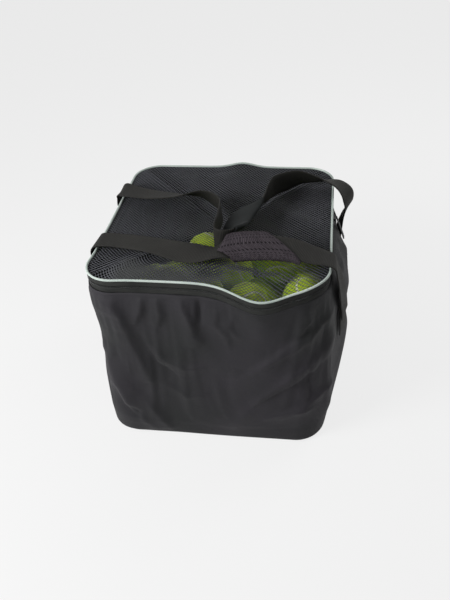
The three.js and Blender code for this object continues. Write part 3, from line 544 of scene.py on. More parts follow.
woven_polyester, shader, place = start_material(
    "black woven polyester", roughness=0.7, specular_ior_level=0.2, sheen_weight=0.04, sheen_roughness=0.4)
ridges = noise(woven_polyester, place, 13.0, 3.0, 0.45, noise_type="RIDGED_MULTIFRACTAL")
wrinkle = bump(woven_polyester, ridges, 0.7, 0.005)
crumple = bump(woven_polyester, noise(woven_polyester, place, 160.0), 0.25, 0.0012, Normal=wrinkle)
# The second pair of colours paints shade between the threads.
join_weave(woven_polyester, shader, weave(woven_polyester, (0.0012, 0.0012)),
           noise(woven_polyester, place, 5.5), ("#242526", "#343137", 0.35, 0.7),
           ("#b4b4b4", "#ffffff", 0.0, 0.9), (0.5, 0.0004), Normal=crumple)
give(bag_cloth, woven_polyester, "bag")
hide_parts("front_panel", "right_panel", "back_panel", "left_panel", "bottom_panel")


# Zip band. Two woven nylon tapes, one sewn under the lid's piping and one along the top of the walls,
# with a nylon coil sewn to each. Behind the zip's two ends one wider strip joins lid and bag.
BAND_TOP, BAND_BOTTOM = 0.0014, 0.0107
UPPER_COIL, LOWER_COIL = (0.0110, 0.0123), (0.0126, 0.0139)
TAPE_TOP, TAPE_BOTTOM = 0.0142, 0.0221
TAPE_THICKNESS = 0.0015
TAPE_LAP = 0.006
RIM_COLUMNS = 420
ZIP_START = PERIMETER - ARC - STRAIGHT / 2 - 0.118
ZIP_END = PERIMETER + STRAIGHT + ARC + STRAIGHT / 2 + 0.036


def rim_point(length, out, down):
    """A place on the rim: outwards from the bag's outline, and down from the piping's middle."""
    x, y, nx, ny = plan(length)
    push = out + dent(x, ny) + corner_flare(x, y)
    return Vector((x + nx * push, y + ny * push, rim_level(x, ny) - down))


def section_marks(section, half_width=1.0, half_thickness=1.0):
    """How far round a section each of its points lies, once it is scaled."""
    marks = [0.0]
    for (a0, b0), (a1, b1) in zip(section, section[1:] + section[:1]):
        marks.append(marks[-1] + math.hypot((a1 - a0) * half_width, (b1 - b0) * half_thickness))
    return marks


def rim_strip(name, start, end, section):
    """A strip along the rim: its section is a closed row of outward and downward places."""
    whole = end - start >= PERIMETER - 1e-6
    count = max(4, round(RIM_COLUMNS * (end - start) / PERIMETER))
    marks = [start + (end - start) * i / count for i in range(count + 1)]
    lengths = section_marks(section)
    rows = [[rim_point(mark, out, down) for out, down in section] for mark in marks]
    strip = grid_mesh(name, rows, closed=True, flat=(lengths, marks))
    finish_faces(strip, merge=1e-6 if whole else None, ends=None if whole else len(section))
    return strip


def tape_section(top, bottom, thickness=TAPE_THICKNESS, out=0.0, coil_below=None, coil_above=None,
                 lap=0.0):
    """A flat tape on edge, with rounded edges and a shallow step where the stitching pulls it in.
    Behind a coil the tape runs on, down or up to the level given. lap is how far it runs down behind
    the wall."""
    edge = thickness / 2
    face = []
    for share, lift in ((0.0, -0.5), (0.04, 0.0), (0.25, 0.08), (0.45, 0.0), (0.55, -0.12), (0.65, 0.0),
                        (0.85, 0.08), (0.96, 0.0), (1.0, -0.5)):
        face.append((out + edge * lift, top + (bottom - top) * share))
    upper, lower = top + edge / 3, bottom - edge / 3
    behind = [(out - thickness, lower), (out - thickness, upper)]
    lapped = [(out - thickness, lower), (out - thickness, lower + lap), (out - 1.4 * thickness, lower + lap),
              (out - 1.4 * thickness, lower)] if lap else []
    if coil_below:
        behind = [(out - 0.6 * thickness, bottom), (out - 0.6 * thickness, coil_below),
                  (out - thickness, coil_below), (out - thickness, upper)]
    if coil_above:
        behind = [(out - 1.4 * thickness, coil_above), (out - 0.6 * thickness, coil_above),
                  (out - 0.6 * thickness, top)]
    elif lap:
        behind = [(out - 1.4 * thickness, upper)]
    return face + lapped + behind


seam_level = (UPPER_COIL[1] + LOWER_COIL[0]) / 2
lid_band = rim_strip("lid_band_tape", 0, PERIMETER, tape_section(
    BAND_TOP, BAND_BOTTOM, coil_below=seam_level - 0.0001))
zip_tape = rim_strip("zip_tape", ZIP_START, ZIP_END, tape_section(
    TAPE_TOP, TAPE_BOTTOM, coil_above=seam_level + 0.0001, lap=TAPE_LAP))
hinge = rim_strip("hinge_tape", ZIP_END - PERIMETER + 0.0003, ZIP_START - 0.0003,
                  tape_section(UPPER_COIL[0], TAPE_BOTTOM, lap=TAPE_LAP))
end_tab = rim_strip("zip_end_fold", ZIP_START - 0.006, ZIP_START + 0.006,
                    tape_section(BAND_BOTTOM - 0.004, TAPE_TOP + 0.004, 0.0012, 0.0028))

nylon_tape, shader, place = start_material(
    "black woven nylon tape", roughness=0.8, specular_ior_level=0.15)
# The second pair of colours paints shade between the threads.
join_weave(nylon_tape, shader, weave(nylon_tape, (0.0009, 0.0011)), noise(nylon_tape, place, 30.0, 2.0),
           ("#2b2c2b", "#3b3c3a"), ("#a8a8a8", "#ffffff", 0.0, 0.9), (0.6, 0.0004))
give(lid_band, nylon_tape, "lid")
for tape in (zip_tape, hinge, end_tab):
    give(tape, nylon_tape, "bag")
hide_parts("lid_band")
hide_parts("zip_tape_lower")
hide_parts("hinge_strip")
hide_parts("zip_end_tab")

COIL_PITCH, COIL_THREAD_SHARE, COIL_OUT, COIL_DEPTH = 0.0020, 0.27, 0.0001, 0.00072
COIL_SIDES, COIL_STEPS = 4, 7


def zip_coil(name, top, bottom):
    """A nylon thread wound into a flat coil along the zip."""
    steps = round((ZIP_END - ZIP_START) / COIL_PITCH) * COIL_STEPS
    middle = (top + bottom) / 2
    thread = (bottom - top) * COIL_THREAD_SHARE
    rise = (bottom - top) / 2 - thread
    rows = []
    for k in range(steps + 1):
        turn = 2 * math.pi * k / COIL_STEPS
        mark = ZIP_START + (ZIP_END - ZIP_START) * k / steps
        out = COIL_OUT + COIL_DEPTH * math.cos(turn)
        down = middle + rise * math.sin(turn)
        ring = []
        for i in range(COIL_SIDES):
            angle = 2 * math.pi * i / COIL_SIDES
            ring.append(rim_point(mark + thread * math.sin(angle),
                                  out + thread * math.cos(angle) * math.cos(turn),
                                  down + thread * math.cos(angle) * math.sin(turn)))
        rows.append(ring)
    return grid_mesh(name, rows, closed=True)


upper_coil = zip_coil("zip_coil_on_lid", *UPPER_COIL)
lower_coil = zip_coil("zip_coil_on_bag", *LOWER_COIL)
nylon_coil, shader, place = start_material("black nylon coil", roughness=0.42)
join_up(nylon_coil, shader, base_color=colour_between(
    nylon_coil, noise(nylon_coil, place, 900.0, 2.0), "#262727", "#3a3b3b"))
give(upper_coil, nylon_coil, "lid")
give(lower_coil, nylon_coil, "bag")
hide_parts("zip_coil_upper")
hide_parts("zip_coil_lower")


# Piping. A cord wrapped in pale woven tape, sewn in between the net and the zip band, all the way
# round the lid. The wrap is slightly uneven, and puckers at its stitches.
PIPING_RADIUS = 0.0018
PIPING_SIDES, PIPING_STEPS = 14, 900
piping_marks = [PERIMETER * i / PIPING_STEPS for i in range(PIPING_STEPS + 1)]
piping_rows = []
for mark in piping_marks[:-1]:
    full = PIPING_RADIUS * (0.97 + 0.03 * math.sin(mark * 2600) * math.sin(mark * 311))
    piping_rows.append([rim_point(mark, full * math.cos(a), -full * math.sin(a))
                        for a in (2 * math.pi * i / PIPING_SIDES for i in range(PIPING_SIDES))])
piping_rows.append(piping_rows[0])
piping = grid_mesh("piping", piping_rows, closed=True, flat=(
    [2 * math.pi * PIPING_RADIUS * i / PIPING_SIDES for i in range(PIPING_SIDES + 1)], piping_marks))
finish_faces(piping, merge=1e-6)
pale_wrap, shader, place = start_material("pale mint woven wrap", roughness=0.6, sheen_weight=0.2)
# The second pair of colours paints shade between the threads.
join_weave(pale_wrap, shader, weave(pale_wrap, (0.0008, 0.0010)), noise(pale_wrap, place, 14.0),
           ("#a4b1aa", "#c6d1ca"), ("#d8d8d8", "#ffffff", 0.0, 0.8), (0.4, 0.0003))
give(piping, pale_wrap, "lid")
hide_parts("lid_piping")


# Balls. Pressed rubber shells covered in two pieces of yellow-green felt, glued edge to edge, so
# that a pale seam winds round each one. They lie loose in a heap.
BALL_RADIUS = 0.03335
SEAM_HALF_WIDTH, SEAM_DEPTH = 0.0014, 0.0006
SEAM_WAVE, SEAM_STEPS = 0.28, 320
BALL_SEED = 5
# One ball under the net has rolled a little further left than its solid.
ROLLED = Vector((-0.008, 0.003, 0.0034))


def seam_points():
    """The seam's run on a ball of radius 1: one closed line with four lobes."""
    t = 2 * math.pi * np.arange(SEAM_STEPS) / SEAM_STEPS
    return np.stack(((1 - SEAM_WAVE) * np.cos(t) + SEAM_WAVE * np.cos(3 * t),
                     (1 - SEAM_WAVE) * np.sin(t) - SEAM_WAVE * np.sin(3 * t),
                     2 * math.sqrt(SEAM_WAVE * (1 - SEAM_WAVE)) * np.sin(2 * t)), axis=1)


def ball_mesh(name, subdivisions, seam):
    """One ball at the origin, pressed in along its seam, with each point's distance from the seam."""
    bpy.ops.mesh.primitive_ico_sphere_add(subdivisions=subdivisions, radius=BALL_RADIUS, location=(0, 0, 0))
    ball = bpy.context.object
    ball.name = name
    directions = points_of(ball) / BALL_RADIUS
    away = BALL_RADIUS * np.sqrt(np.maximum(0, 2 - 2 * (directions @ seam.T).max(axis=1)))
    close = np.exp(-(away / SEAM_HALF_WIDTH) ** 2)
    directions *= (BALL_RADIUS - SEAM_DEPTH * close)[:, None]
    ball.data.vertices.foreach_set("co", directions.ravel())
    ball.data.attributes.new("seam", "FLOAT", "POINT").data.foreach_set("value", away)
    ball.data.polygons.foreach_set("use_smooth", [True] * len(ball.data.polygons))
    return ball


def heap_middles():
    """The middles of the buried balls: the solid's points lie one radius from them."""
    points = np.array([v.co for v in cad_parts["ball_heap"].data.vertices])
    votes = {}
    for a in range(len(points)):
        apart = np.linalg.norm(points - points[a], axis=1)
        for b in np.nonzero(np.abs(apart - 2 * BALL_RADIUS) < 2e-6)[0]:
            if b > a:
                middle = (points[a] + points[b]) / 2
                on = np.abs(np.linalg.norm(points - middle, axis=1) - BALL_RADIUS) < 4e-6
                if on.sum() >= 8:
                    votes[tuple(np.round(middle, 4))] = middle
    kept = []
    for middle in votes.values():
        if all(np.linalg.norm(middle - other) > BALL_RADIUS for other in kept):
            kept.append(middle)
    return kept


felt, shader, place = start_material(
    "yellow-green wool felt", roughness=0.95, sheen_weight=0.12, sheen_roughness=0.6)
away = add_node(felt, "Attribute", attribute_name="seam").outputs["Fac"]
seam_mask = add_node(felt, "MapRange", {"Value": away, 1: 0.0010, 2: 0.0021, 3: 1.0, 4: 0.0}).outputs[0]
felt_colour = colour_between(felt, noise(felt, place, 60.0), "#a9c20a", "#c9e61a", 0.35, 0.7)
seam_mix = add_node(felt, "Mix", {0: seam_mask, 6: felt_colour, 7: linear("#d9ddc8")}, data_type="RGBA")
join_up(felt, shader, base_color=seam_mix.outputs[2],
        normal=bump(felt, noise(felt, place, 420.0, 4.0, 0.7), 0.7, 0.0010))

seam_run = seam_points()
ball_turns = random.Random(BALL_SEED)


def place_ball(pattern, name, middle):
    """A copy of a ball, turned at random, at its place in the heap."""
    ball = pattern.copy()
    ball.data = pattern.data.copy()
    ball.name = name
    bpy.context.scene.collection.objects.link(ball)
    turn = Matrix.Rotation(ball_turns.uniform(0, 2 * math.pi), 4, Vector(
        (ball_turns.gauss(0, 1), ball_turns.gauss(0, 1), ball_turns.gauss(0, 1))).normalized())
    ball.data.transform(Matrix.Translation(middle) @ turn)
    give(ball, felt, "bag")
    return ball


# Under the net the balls are fine, below them coarser, and the buried ones coarsest.
fine_ball = ball_mesh("fine_ball", 5, seam_run)
middle_ball = ball_mesh("middle_ball", 4, seam_run)
coarse_ball = ball_mesh("coarse_ball", 3, seam_run)
upper_middles = {}
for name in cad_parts:
    if name.startswith("ball_") and name != "ball_heap":
        low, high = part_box(name)
        upper_middles[name] = (low + high) / 2
upper_middles["ball_top_4"] += ROLLED
for name, middle in upper_middles.items():
    pattern = fine_ball if name.startswith("ball_top") else middle_ball
    ball = place_ball(pattern, name.replace("ball", "felt_ball"), middle)
    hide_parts(name)
buried = [place_ball(coarse_ball, "felt_ball_buried_%d" % k, Vector(middle))
          for k, middle in enumerate(heap_middles())]
bpy.ops.object.select_all(action="DESELECT")
for ball in buried:
    ball.select_set(True)
bpy.context.view_layer.objects.active = buried[0]
bpy.ops.object.join()
heap = bpy.context.object
heap.name = "felt_ball_heap"
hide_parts("ball_heap")
for pattern in (fine_ball, middle_ball, coarse_ball):
    bpy.data.objects.remove(pattern)
bpy.ops.object.select_all(action="DESELECT")


# Lid net. Black knitted polyester mesh with round holes, sewn in under the piping. It is slack: it
# sags between its edges, lies on the highest balls, and falls into soft folds towards the front.
NET_CELLS, DRAPE_CELLS, DRAPE_STEPS = 110, 84, 4000
NET_THREAD, NET_INSET, NET_DROP = 0.0011, 0.0014, 0.0012
HOLE_SHARE, HOLE_ROUNDING = 0.79, 1.16
NET_SAG, NET_CLEARANCE = 0.013, 0.0016


def net_plan(u, v):
    """A place on the net as shares from -1 to 1: x, y and the rim's height straight out from it."""
    ring = max(abs(u), abs(v))
    if ring < 1e-9:
        return 0.0, 0.0, RIM_HEIGHT
    a, b = u / ring, v / ring
    quarter, middle = PERIMETER / 4, STRAIGHT / 2
    if b <= -1 + 1e-9:
        along = middle + a / 2 * quarter
    elif a >= 1 - 1e-9:
        along = middle + (1 + b / 2) * quarter
    elif b >= 1 - 1e-9:
        along = middle + (2 - a / 2) * quarter
    else:
        along = middle + (3 - b / 2) * quarter
    edge = rim_point(along, -NET_INSET, NET_DROP)
    return edge.x * ring, edge.y * ring, edge.z


def drape_net():
    """The net's heights on an even grid: a slack membrane that lies on the balls below it."""
    shares = np.linspace(-1, 1, DRAPE_CELLS + 1)
    places = np.array([[net_plan(u, v) for u in shares] for v in shares])
    flat_x, flat_y, height = places[..., 0], places[..., 1], places[..., 2].copy()
    lowest = np.zeros_like(height)
    clear = BALL_RADIUS + NET_CLEARANCE
    for middle in upper_middles.values():
        lift = clear ** 2 - (flat_x - middle[0]) ** 2 - (flat_y - middle[1]) ** 2
        lowest = np.maximum(lowest, np.where(lift > 0, middle[2] + np.sqrt(np.maximum(lift, 0)), 0))
    pull = NET_SAG / (0.295 * DRAPE_CELLS ** 2)
    for _ in range(DRAPE_STEPS):
        inner = (height[:-2, 1:-1] + height[2:, 1:-1] + height[1:-1, :-2] + height[1:-1, 2:]) / 4 - pull
        height[1:-1, 1:-1] = np.maximum(inner, lowest[1:-1, 1:-1])
    return flat_x, flat_y, height


# Each soft fold of the net: its width and height, and its run as places on the lid.
NET_FOLDS = [
    (0.016, 0.007, [(-0.115, -0.168), (-0.05, -0.135), (0.02, -0.118), (0.075, -0.142)]),
    (0.012, 0.004, [(-0.03, -0.160), (0.0, -0.128), (0.012, -0.090)]),
    (0.016, 0.004, [(-0.02, 0.160), (0.01, 0.095), (0.004, 0.02)]),
    (0.014, 0.003, [(-0.09, 0.150), (-0.06, 0.090), (-0.055, 0.03)]),
    (0.018, 0.004, [(0.06, 0.10), (0.10, 0.03), (0.165, -0.02)]),
]
net_x, net_y, net_z = drape_net()
from_middle = np.abs(np.linspace(-1, 1, DRAPE_CELLS + 1))
edge_ease = np.clip((1 - np.maximum(from_middle[:, None], from_middle[None, :])) / 0.1, 0, 1)
for width, rise, run in NET_FOLDS:
    nearest, _, along = off_run(net_x, net_y, run)
    net_z += rise * np.exp(-(nearest / width) ** 2) * np.sin(math.pi * along) ** 0.6 * edge_ease


def on_net(i, j):
    """The net's place at a mark on the knitted grid, between the drape's own points."""
    u, v = (min(max(mark / NET_CELLS * DRAPE_CELLS, 0), DRAPE_CELLS - 1e-6) for mark in (i, j))
    a, b = int(u), int(v)
    s, t = u - a, v - b
    weights = ((1 - s) * (1 - t), s * (1 - t), s * t, (1 - s) * t)
    corners = ((b, a), (b, a + 1), (b + 1, a + 1), (b + 1, a))
    return Vector([sum(w * field[c] for w, c in zip(weights, corners)) for field in (net_x, net_y, net_z)])


# Where the slack net bunches up, its holes close: each place on the lid, how far it reaches along the
# front and away from it, and how much of a hole stays open.
BUNCHES = [
    (-0.104, -0.158, 0.040, 0.034, 0.05), (-0.118, -0.130, 0.018, 0.018, 0.20),
    (-0.055, -0.164, 0.050, 0.026, 0.12), (-0.012, -0.146, 0.040, 0.030, 0.22),
    (0.008, -0.118, 0.026, 0.020, 0.30), (0.048, -0.129, 0.028, 0.008, 0.26),
    (0.088, -0.136, 0.030, 0.007, 0.34), (0.120, -0.150, 0.016, 0.008, 0.45),
]


def hole_share(x, y):
    """How much of a cell is open at a place on the net."""
    share = HOLE_SHARE
    for a, b, reach, depth, open_share in BUNCHES:
        bunched = math.exp(-(((x - a) / reach) ** 2 + ((y - b) / depth) ** 2) ** 2)
        share = min(share, HOLE_SHARE + (open_share - HOLE_SHARE) * bunched)
    return share


# A cell's corners and the middles of its sides, in steps of the grid from the cell's middle.
CELL_RING = ((1, 0), (0.5, 0.5), (0, 1), (-0.5, 0.5), (-1, 0), (-0.5, -0.5), (0, -1), (0.5, -0.5))


def knit_net(name):
    """Threads round a diamond grid of holes: thick in their middle and thin at each hole's edge."""
    points, faces, known, spread = [], [], {}, []
    up = Vector((0, 0, NET_THREAD / 2))

    def joint(i, j):
        if (i, j) not in known:
            place = on_net(i, j)
            known[i, j] = (len(points), len(points) + 1)
            points.extend((place + up, place - up))
            spread.extend([hole_share(place.x, place.y) / HOLE_SHARE] * 2)
        return known[i, j]

    for j in range(NET_CELLS + 1):
        for i in range(NET_CELLS + 1):
            if (i + j) % 2 == 0:
                continue
            ring = [(min(max(i + a, 0), NET_CELLS), min(max(j + b, 0), NET_CELLS)) for a, b in CELL_RING]
            kept = [p for k, p in enumerate(ring) if p != ring[k - 1]]
            outer = [joint(a, b) for a, b in kept]
            mid_a, mid_b = (sum(place[k] for place in kept) / len(kept) for k in (0, 1))
            centre = on_net(mid_a, mid_b)
            open_share = hole_share(centre.x, centre.y)
            inner = []
            for a, b in kept:
                corner = (abs(a - mid_a) < 0.2) != (abs(b - mid_b) < 0.2)
                share = open_share if corner else open_share * HOLE_ROUNDING
                inner.append(len(points))
                spread.append(open_share / HOLE_SHARE)
                points.append(on_net(mid_a + (a - mid_a) * share, mid_b + (b - mid_b) * share))
            for k in range(len(kept)):
                n = (k + 1) % len(kept)
                faces.append((outer[k][0], outer[n][0], inner[n], inner[k]))
                faces.append((outer[n][1], outer[k][1], inner[k], inner[n]))
    mesh = bpy.data.meshes.new(name)
    mesh.from_pydata(points, [], faces)
    # spread, each point's share of an open hole, sets the painted shade where the net bunches.
    mesh.attributes.new("spread", "FLOAT", "POINT").data.foreach_set("value", spread)
    return smooth_piece(name, mesh)


net = knit_net("lid_net")
knit, shader, place = start_material(
    "black knitted polyester mesh", roughness=0.6, specular_ior_level=0.3)
spread = add_node(knit, "Attribute", attribute_name="spread").outputs["Fac"]
thread_colour = colour_between(knit, noise(knit, place, 9.0, 2.0), "#424348", "#525359")
# Painted shade: the threads are darker where the net bunches, as they shade one another there.
bunched_thread_shade = colour_between(knit, spread, "#a0a39a", "#ffffff", 0.2, 0.95)
join_up(knit, shader, base_color=multiplied(knit, thread_colour, bunched_thread_shade),
        normal=bump(knit, noise(knit, place, 1500.0), 0.5, 0.0003))
give(net, knit, "lid")
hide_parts("lid_mesh")


# Handles. Each is one length of 38 mm polypropylene webbing, sewn to a side wall at both ends, with
# a grip sleeve round its middle. Both lie slack across the lid.
WEB_WIDTH, WEB_THICKNESS = 0.038, 0.002
ANCHOR_HEIGHT, ANCHOR_Y, ANCHOR_LENGTH, ANCHOR_LAP, ANCHOR_OUT = 0.225, 0.090, 0.060, 0.012, 0.001
WEB_COLUMNS, WEB_STEPS_PER_ROW, SEWN_END_STEPS = 6, 6, 24
PANEL_BOTTOM = 0.0023

# Each row of a route is a share of the bag's half width, a share of its half depth, a share of the
# way from the anchor up to the rim, and the direction of the webbing's width.
FRONT_ROUTE = [
    (-1.027, -0.5, -0.09, 0, 1, 0),
    (-1.03, -0.5, 0.15, 0, 1, 0),
    (-1.035, -0.49, 0.38, 0, 1, 0),
    (-1.05, -0.465, 0.77, 0, 1, 0),
    (-1.053, -0.47, 0.93, 0.05, 1, 0),
    (-1.01, -0.475, 1.045, 0.05, 1, 0),
    (-0.92, -0.475, 1.062, 0, 1, 0),
    (-0.78, -0.485, 1.06, 0, 1, 0),
    (-0.51, -0.545, 1.075, 0.1, 1, 0.05),
    (-0.16, -0.66, 1.09, 0.1, 0.95, 0.3),
    (0.05, -0.665, 1.12, 0.05, 0.95, -0.1),
    (0.22, -0.62, 1.17, 0, 0.9, 0.44),
    (0.45, -0.595, 1.18, 0, 0.92, 0.38),
    (0.68, -0.6, 1.155, 0, 0.95, 0.3),
    (0.84, -0.635, 1.105, 0, 0.98, 0.2),
    (0.95, -0.655, 1.08, 0, 1, 0.05),
    (1.03, -0.665, 1.03, 0, 1, 0),
    (1.055, -0.655, 0.88, 0, 1, 0),
    (1.05, -0.62, 0.63, 0, 1, 0),
    (1.04, -0.565, 0.36, 0, 1, 0),
    (1.029, -0.51, 0.14, 0, 1, 0),
    (1.027, -0.5, -0.09, 0, 1, 0),
]
REAR_ROUTE = [
    (-1.027, 0.5, -0.09, 0, 1, 0),
    (-1.03, 0.5, 0.15, 0, 1, 0),
    (-1.038, 0.49, 0.38, 0, 1, 0),
    (-1.06, 0.465, 0.77, 0, 1, 0),
    (-1.07, 0.43, 0.9, 0, 1, 0),
    (-1.03, 0.4, 1.06, 0, 1, 0),
    (-0.93, 0.35, 1.095, 0, 1, 0),
    (-0.74, 0.3, 1.095, 0, 1, -0.1),
    (-0.5, 0.28, 1.1, 0, 0.94, -0.3),
    (-0.27, 0.29, 1.12, 0.05, 0.76, -0.64),
    (-0.12, 0.21, 1.13, 0.15, 0.4, -0.9),
    (0, 0.03, 1.14, 0.1, 0, -0.98),
    (0.015, -0.2, 1.14, 0, 0, -1),
    (0.012, -0.39, 1.15, 0, 0, -1),
    (0.03, -0.485, 1.155, 0, 0, -1),
    (0.09, -0.52, 1.16, 0, 0, -1),
    (0.148, -0.48, 1.165, -0.3, 0.12, -0.94),
    (0.172, -0.385, 1.17, -0.76, 0.11, -0.64),
    (0.185, -0.27, 1.16, -0.93, 0.15, -0.36),
    (0.21, -0.12, 1.15, -0.94, 0.18, -0.33),
    (0.265, 0.04, 1.14, -0.82, 0.36, -0.42),
    (0.34, 0.17, 1.15, -0.5, 0.32, -0.8),
    (0.395, 0.3, 1.16, -0.15, 0.1, -0.98),
    (0.445, 0.43, 1.16, 0, 0, -1),
    (0.55, 0.53, 1.16, 0, 0.1, -0.99),
    (0.71, 0.6, 1.18, 0, 0.5, -0.87),
    (0.88, 0.55, 1.2, 0, 0.82, -0.57),
    (1.005, 0.52, 1.17, 0.02, 0.98, -0.2),
    (1.09, 0.515, 1.075, 0.2, 0.96, 0.05),
    (1.145, 0.515, 0.935, 0.42, 0.9, 0.12),
    (1.155, 0.515, 0.79, 0.35, 0.93, 0),
    (1.085, 0.51, 0.58, 0.15, 0.98, 0),
    (1.042, 0.495, 0.34, 0, 1, 0),
    (1.03, 0.5, 0.13, 0, 1, 0),
    (1.028, 0.5, -0.09, 0, 1, 0),
]


def spline_point(places, t):
    """A place on the smooth curve through the places, which passes close ones slowly."""
    last = len(places) - 1
    whole = min(int(last * t), last - 1)
    share = last * t - whole
    p1, p2 = places[whole], places[whole + 1]
    p0 = places[whole - 1] if whole > 0 else 2 * places[0] - places[1]
    p3 = places[whole + 2] if whole + 2 <= last else 2 * places[last] - places[last - 1]
    d0, d1, d2 = (max(np.linalg.norm(b - a), 1e-7) ** 0.5 for a, b in ((p0, p1), (p1, p2), (p2, p3)))
    if d1 < 1e-3:
        d1 = 1.0
    if d0 < 1e-3:
        d0 = d1
    if d2 < 1e-3:
        d2 = d1
    slope1 = ((p1 - p0) / d0 - (p2 - p0) / (d0 + d1) + (p2 - p1) / d1) * d1
    slope2 = ((p2 - p1) / d1 - (p3 - p1) / (d1 + d2) + (p3 - p2) / d2) * d1
    return (p1 + slope1 * share + (3 * (p2 - p1) - 2 * slope1 - slope2) * share ** 2
            + (2 * (p1 - p2) + slope1 + slope2) * share ** 3)


def route_height(rise):
    return ANCHOR_HEIGHT + rise * (RIM_HEIGHT - ANCHOR_HEIGHT)


def wall_out(x, y, rise):
    """How far the wall beside the webbing swells out. Over the lid there is none."""
    if abs(x) <= 1:
        return 0.0
    side = math.copysign(1, x)
    share = (route_height(rise) - PANEL_BOTTOM) / (WALL_HEIGHT - PANEL_BOTTOM)
    return side * swell(0, y, side, 0, share)


def route_frames(route, start, end, count):
    """The webbing's middle, the direction across it and the direction out of its face, along a route."""
    centres, widths = [], []
    for x, y, rise, across, along, up in route:
        centres.append(np.array((
            x * HALF + wall_out(x, y * HALF, rise), y * HALF, route_height(rise))) * 1000)
        near, far = (wall_out(x, y * HALF + s * WEB_WIDTH, rise) for s in (0.5, -0.5))
        widths.append(np.array((across + along * (near - far) / WEB_WIDTH, along, up)))
    frames = []
    for k in range(count + 1):
        t = start + (end - start) * k / count
        before, after = max(t - 1e-4, 0), min(t + 1e-4, 1)
        tangent = spline_point(centres, after) - spline_point(centres, before)
        tangent /= np.linalg.norm(tangent)
        across = spline_point(widths, t)
        across = across - tangent * across.dot(tangent)
        across /= np.linalg.norm(across)
        frames.append((spline_point(centres, t) / 1000, across, np.cross(across, tangent)))
    return frames


def run_marks(frames):
    marks = [0.0]
    for (a, _, _), (b, _, _) in zip(frames, frames[1:]):
        marks.append(marks[-1] + float(np.linalg.norm(b - a)))
    return marks


# The webbing's section as shares of its half width and half thickness, with thin woven edges.
web_top = [(-1 + 2 * k / WEB_COLUMNS, 1.0) for k in range(1, WEB_COLUMNS)]
WEB_SECTION = ([(-1, -0.35), (-1, 0.35), (-0.96, 0.95)] + web_top
               + [(0.96, 0.95), (1, 0.35), (1, -0.35), (0.96, -0.95)]
               + [(a, -1.0) for a, _ in reversed(web_top)] + [(-0.96, -0.95)])


def web_piece(name, rows, marks):
    """A length of webbing through rows of its section's points, closed at both ends."""
    across = section_marks(WEB_SECTION, WEB_WIDTH / 2, WEB_THICKNESS / 2)
    piece = grid_mesh(name, rows, closed=True, flat=(across, marks))
    finish_faces(piece, ends=len(WEB_SECTION))
    return piece


def web_strap(name, route):
    frames = route_frames(route, 0.0, 1.0, WEB_STEPS_PER_ROW * (len(route) - 1))
    rows = [[Vector(centre + across * (a * WEB_WIDTH / 2) + out * (b * WEB_THICKNESS / 2))
             for a, b in WEB_SECTION] for centre, across, out in frames]
    return web_piece(name, rows, run_marks(frames))


front_strap = web_strap("front_web", FRONT_ROUTE)
rear_strap = web_strap("rear_web", REAR_ROUTE)


def sewn_end(name, side, end):
    """The folded end of a handle on the wall: 60 mm of webbing, following the wall's swell."""
    lowest = ANCHOR_HEIGHT + ANCHOR_LAP * 1.5 - ANCHOR_LENGTH
    middle = (STRAIGHT + ARC if side > 0 else 3 * (STRAIGHT + ARC)) + STRAIGHT / 2
    marks = [ANCHOR_LENGTH * k / SEWN_END_STEPS for k in range(SEWN_END_STEPS + 1)]
    rows = [[wall_point(middle + side * (end * ANCHOR_Y + a * WEB_WIDTH / 2), (lowest + mark) / WALL_HEIGHT,
                        ANCHOR_OUT + (1 + b) * WEB_THICKNESS / 2)
             for a, b in WEB_SECTION] for mark in marks]
    return web_piece(name, rows, marks)


anchors = {}
for side_name, side in (("left", -1), ("right", 1)):
    for end_name, end in (("front", -1), ("rear", 1)):
        place_name = end_name + "_" + side_name
        anchors["strap_anchor_" + place_name] = sewn_end("sewn_end_" + place_name, side, end)

webbing, shader, place = start_material(
    "black ribbed polypropylene webbing", roughness=0.7, specular_ior_level=0.2)
# The second pair of colours paints shade between the threads.
join_weave(webbing, shader, weave(webbing, (0.0019, 0.0022), (0.3, 0.25), 1.0),
           noise(webbing, place, 22.0), ("#252421", "#302f2b"),
           ("#6e6e6e", "#ffffff", 0.0, 0.8), (0.8, 0.0006))
give(front_strap, webbing)
give(rear_strap, webbing)
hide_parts("front_handle_strap")
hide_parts("rear_handle_strap")
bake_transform(front_strap)
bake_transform(rear_strap)
for name, piece in anchors.items():
    give(piece, webbing, "bag")
    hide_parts(name)


# Grip sleeves. Padded cloth wrapped round the webbing and sewn shut: the front one of thick ribbed
# cloth, the rear one of smooth coated foam.
SLEEVE_FRAMES, SLEEVE_SIDES, SLEEVE_STEPS = 160, 32, 60
SLEEVE_GAP = 0.0006


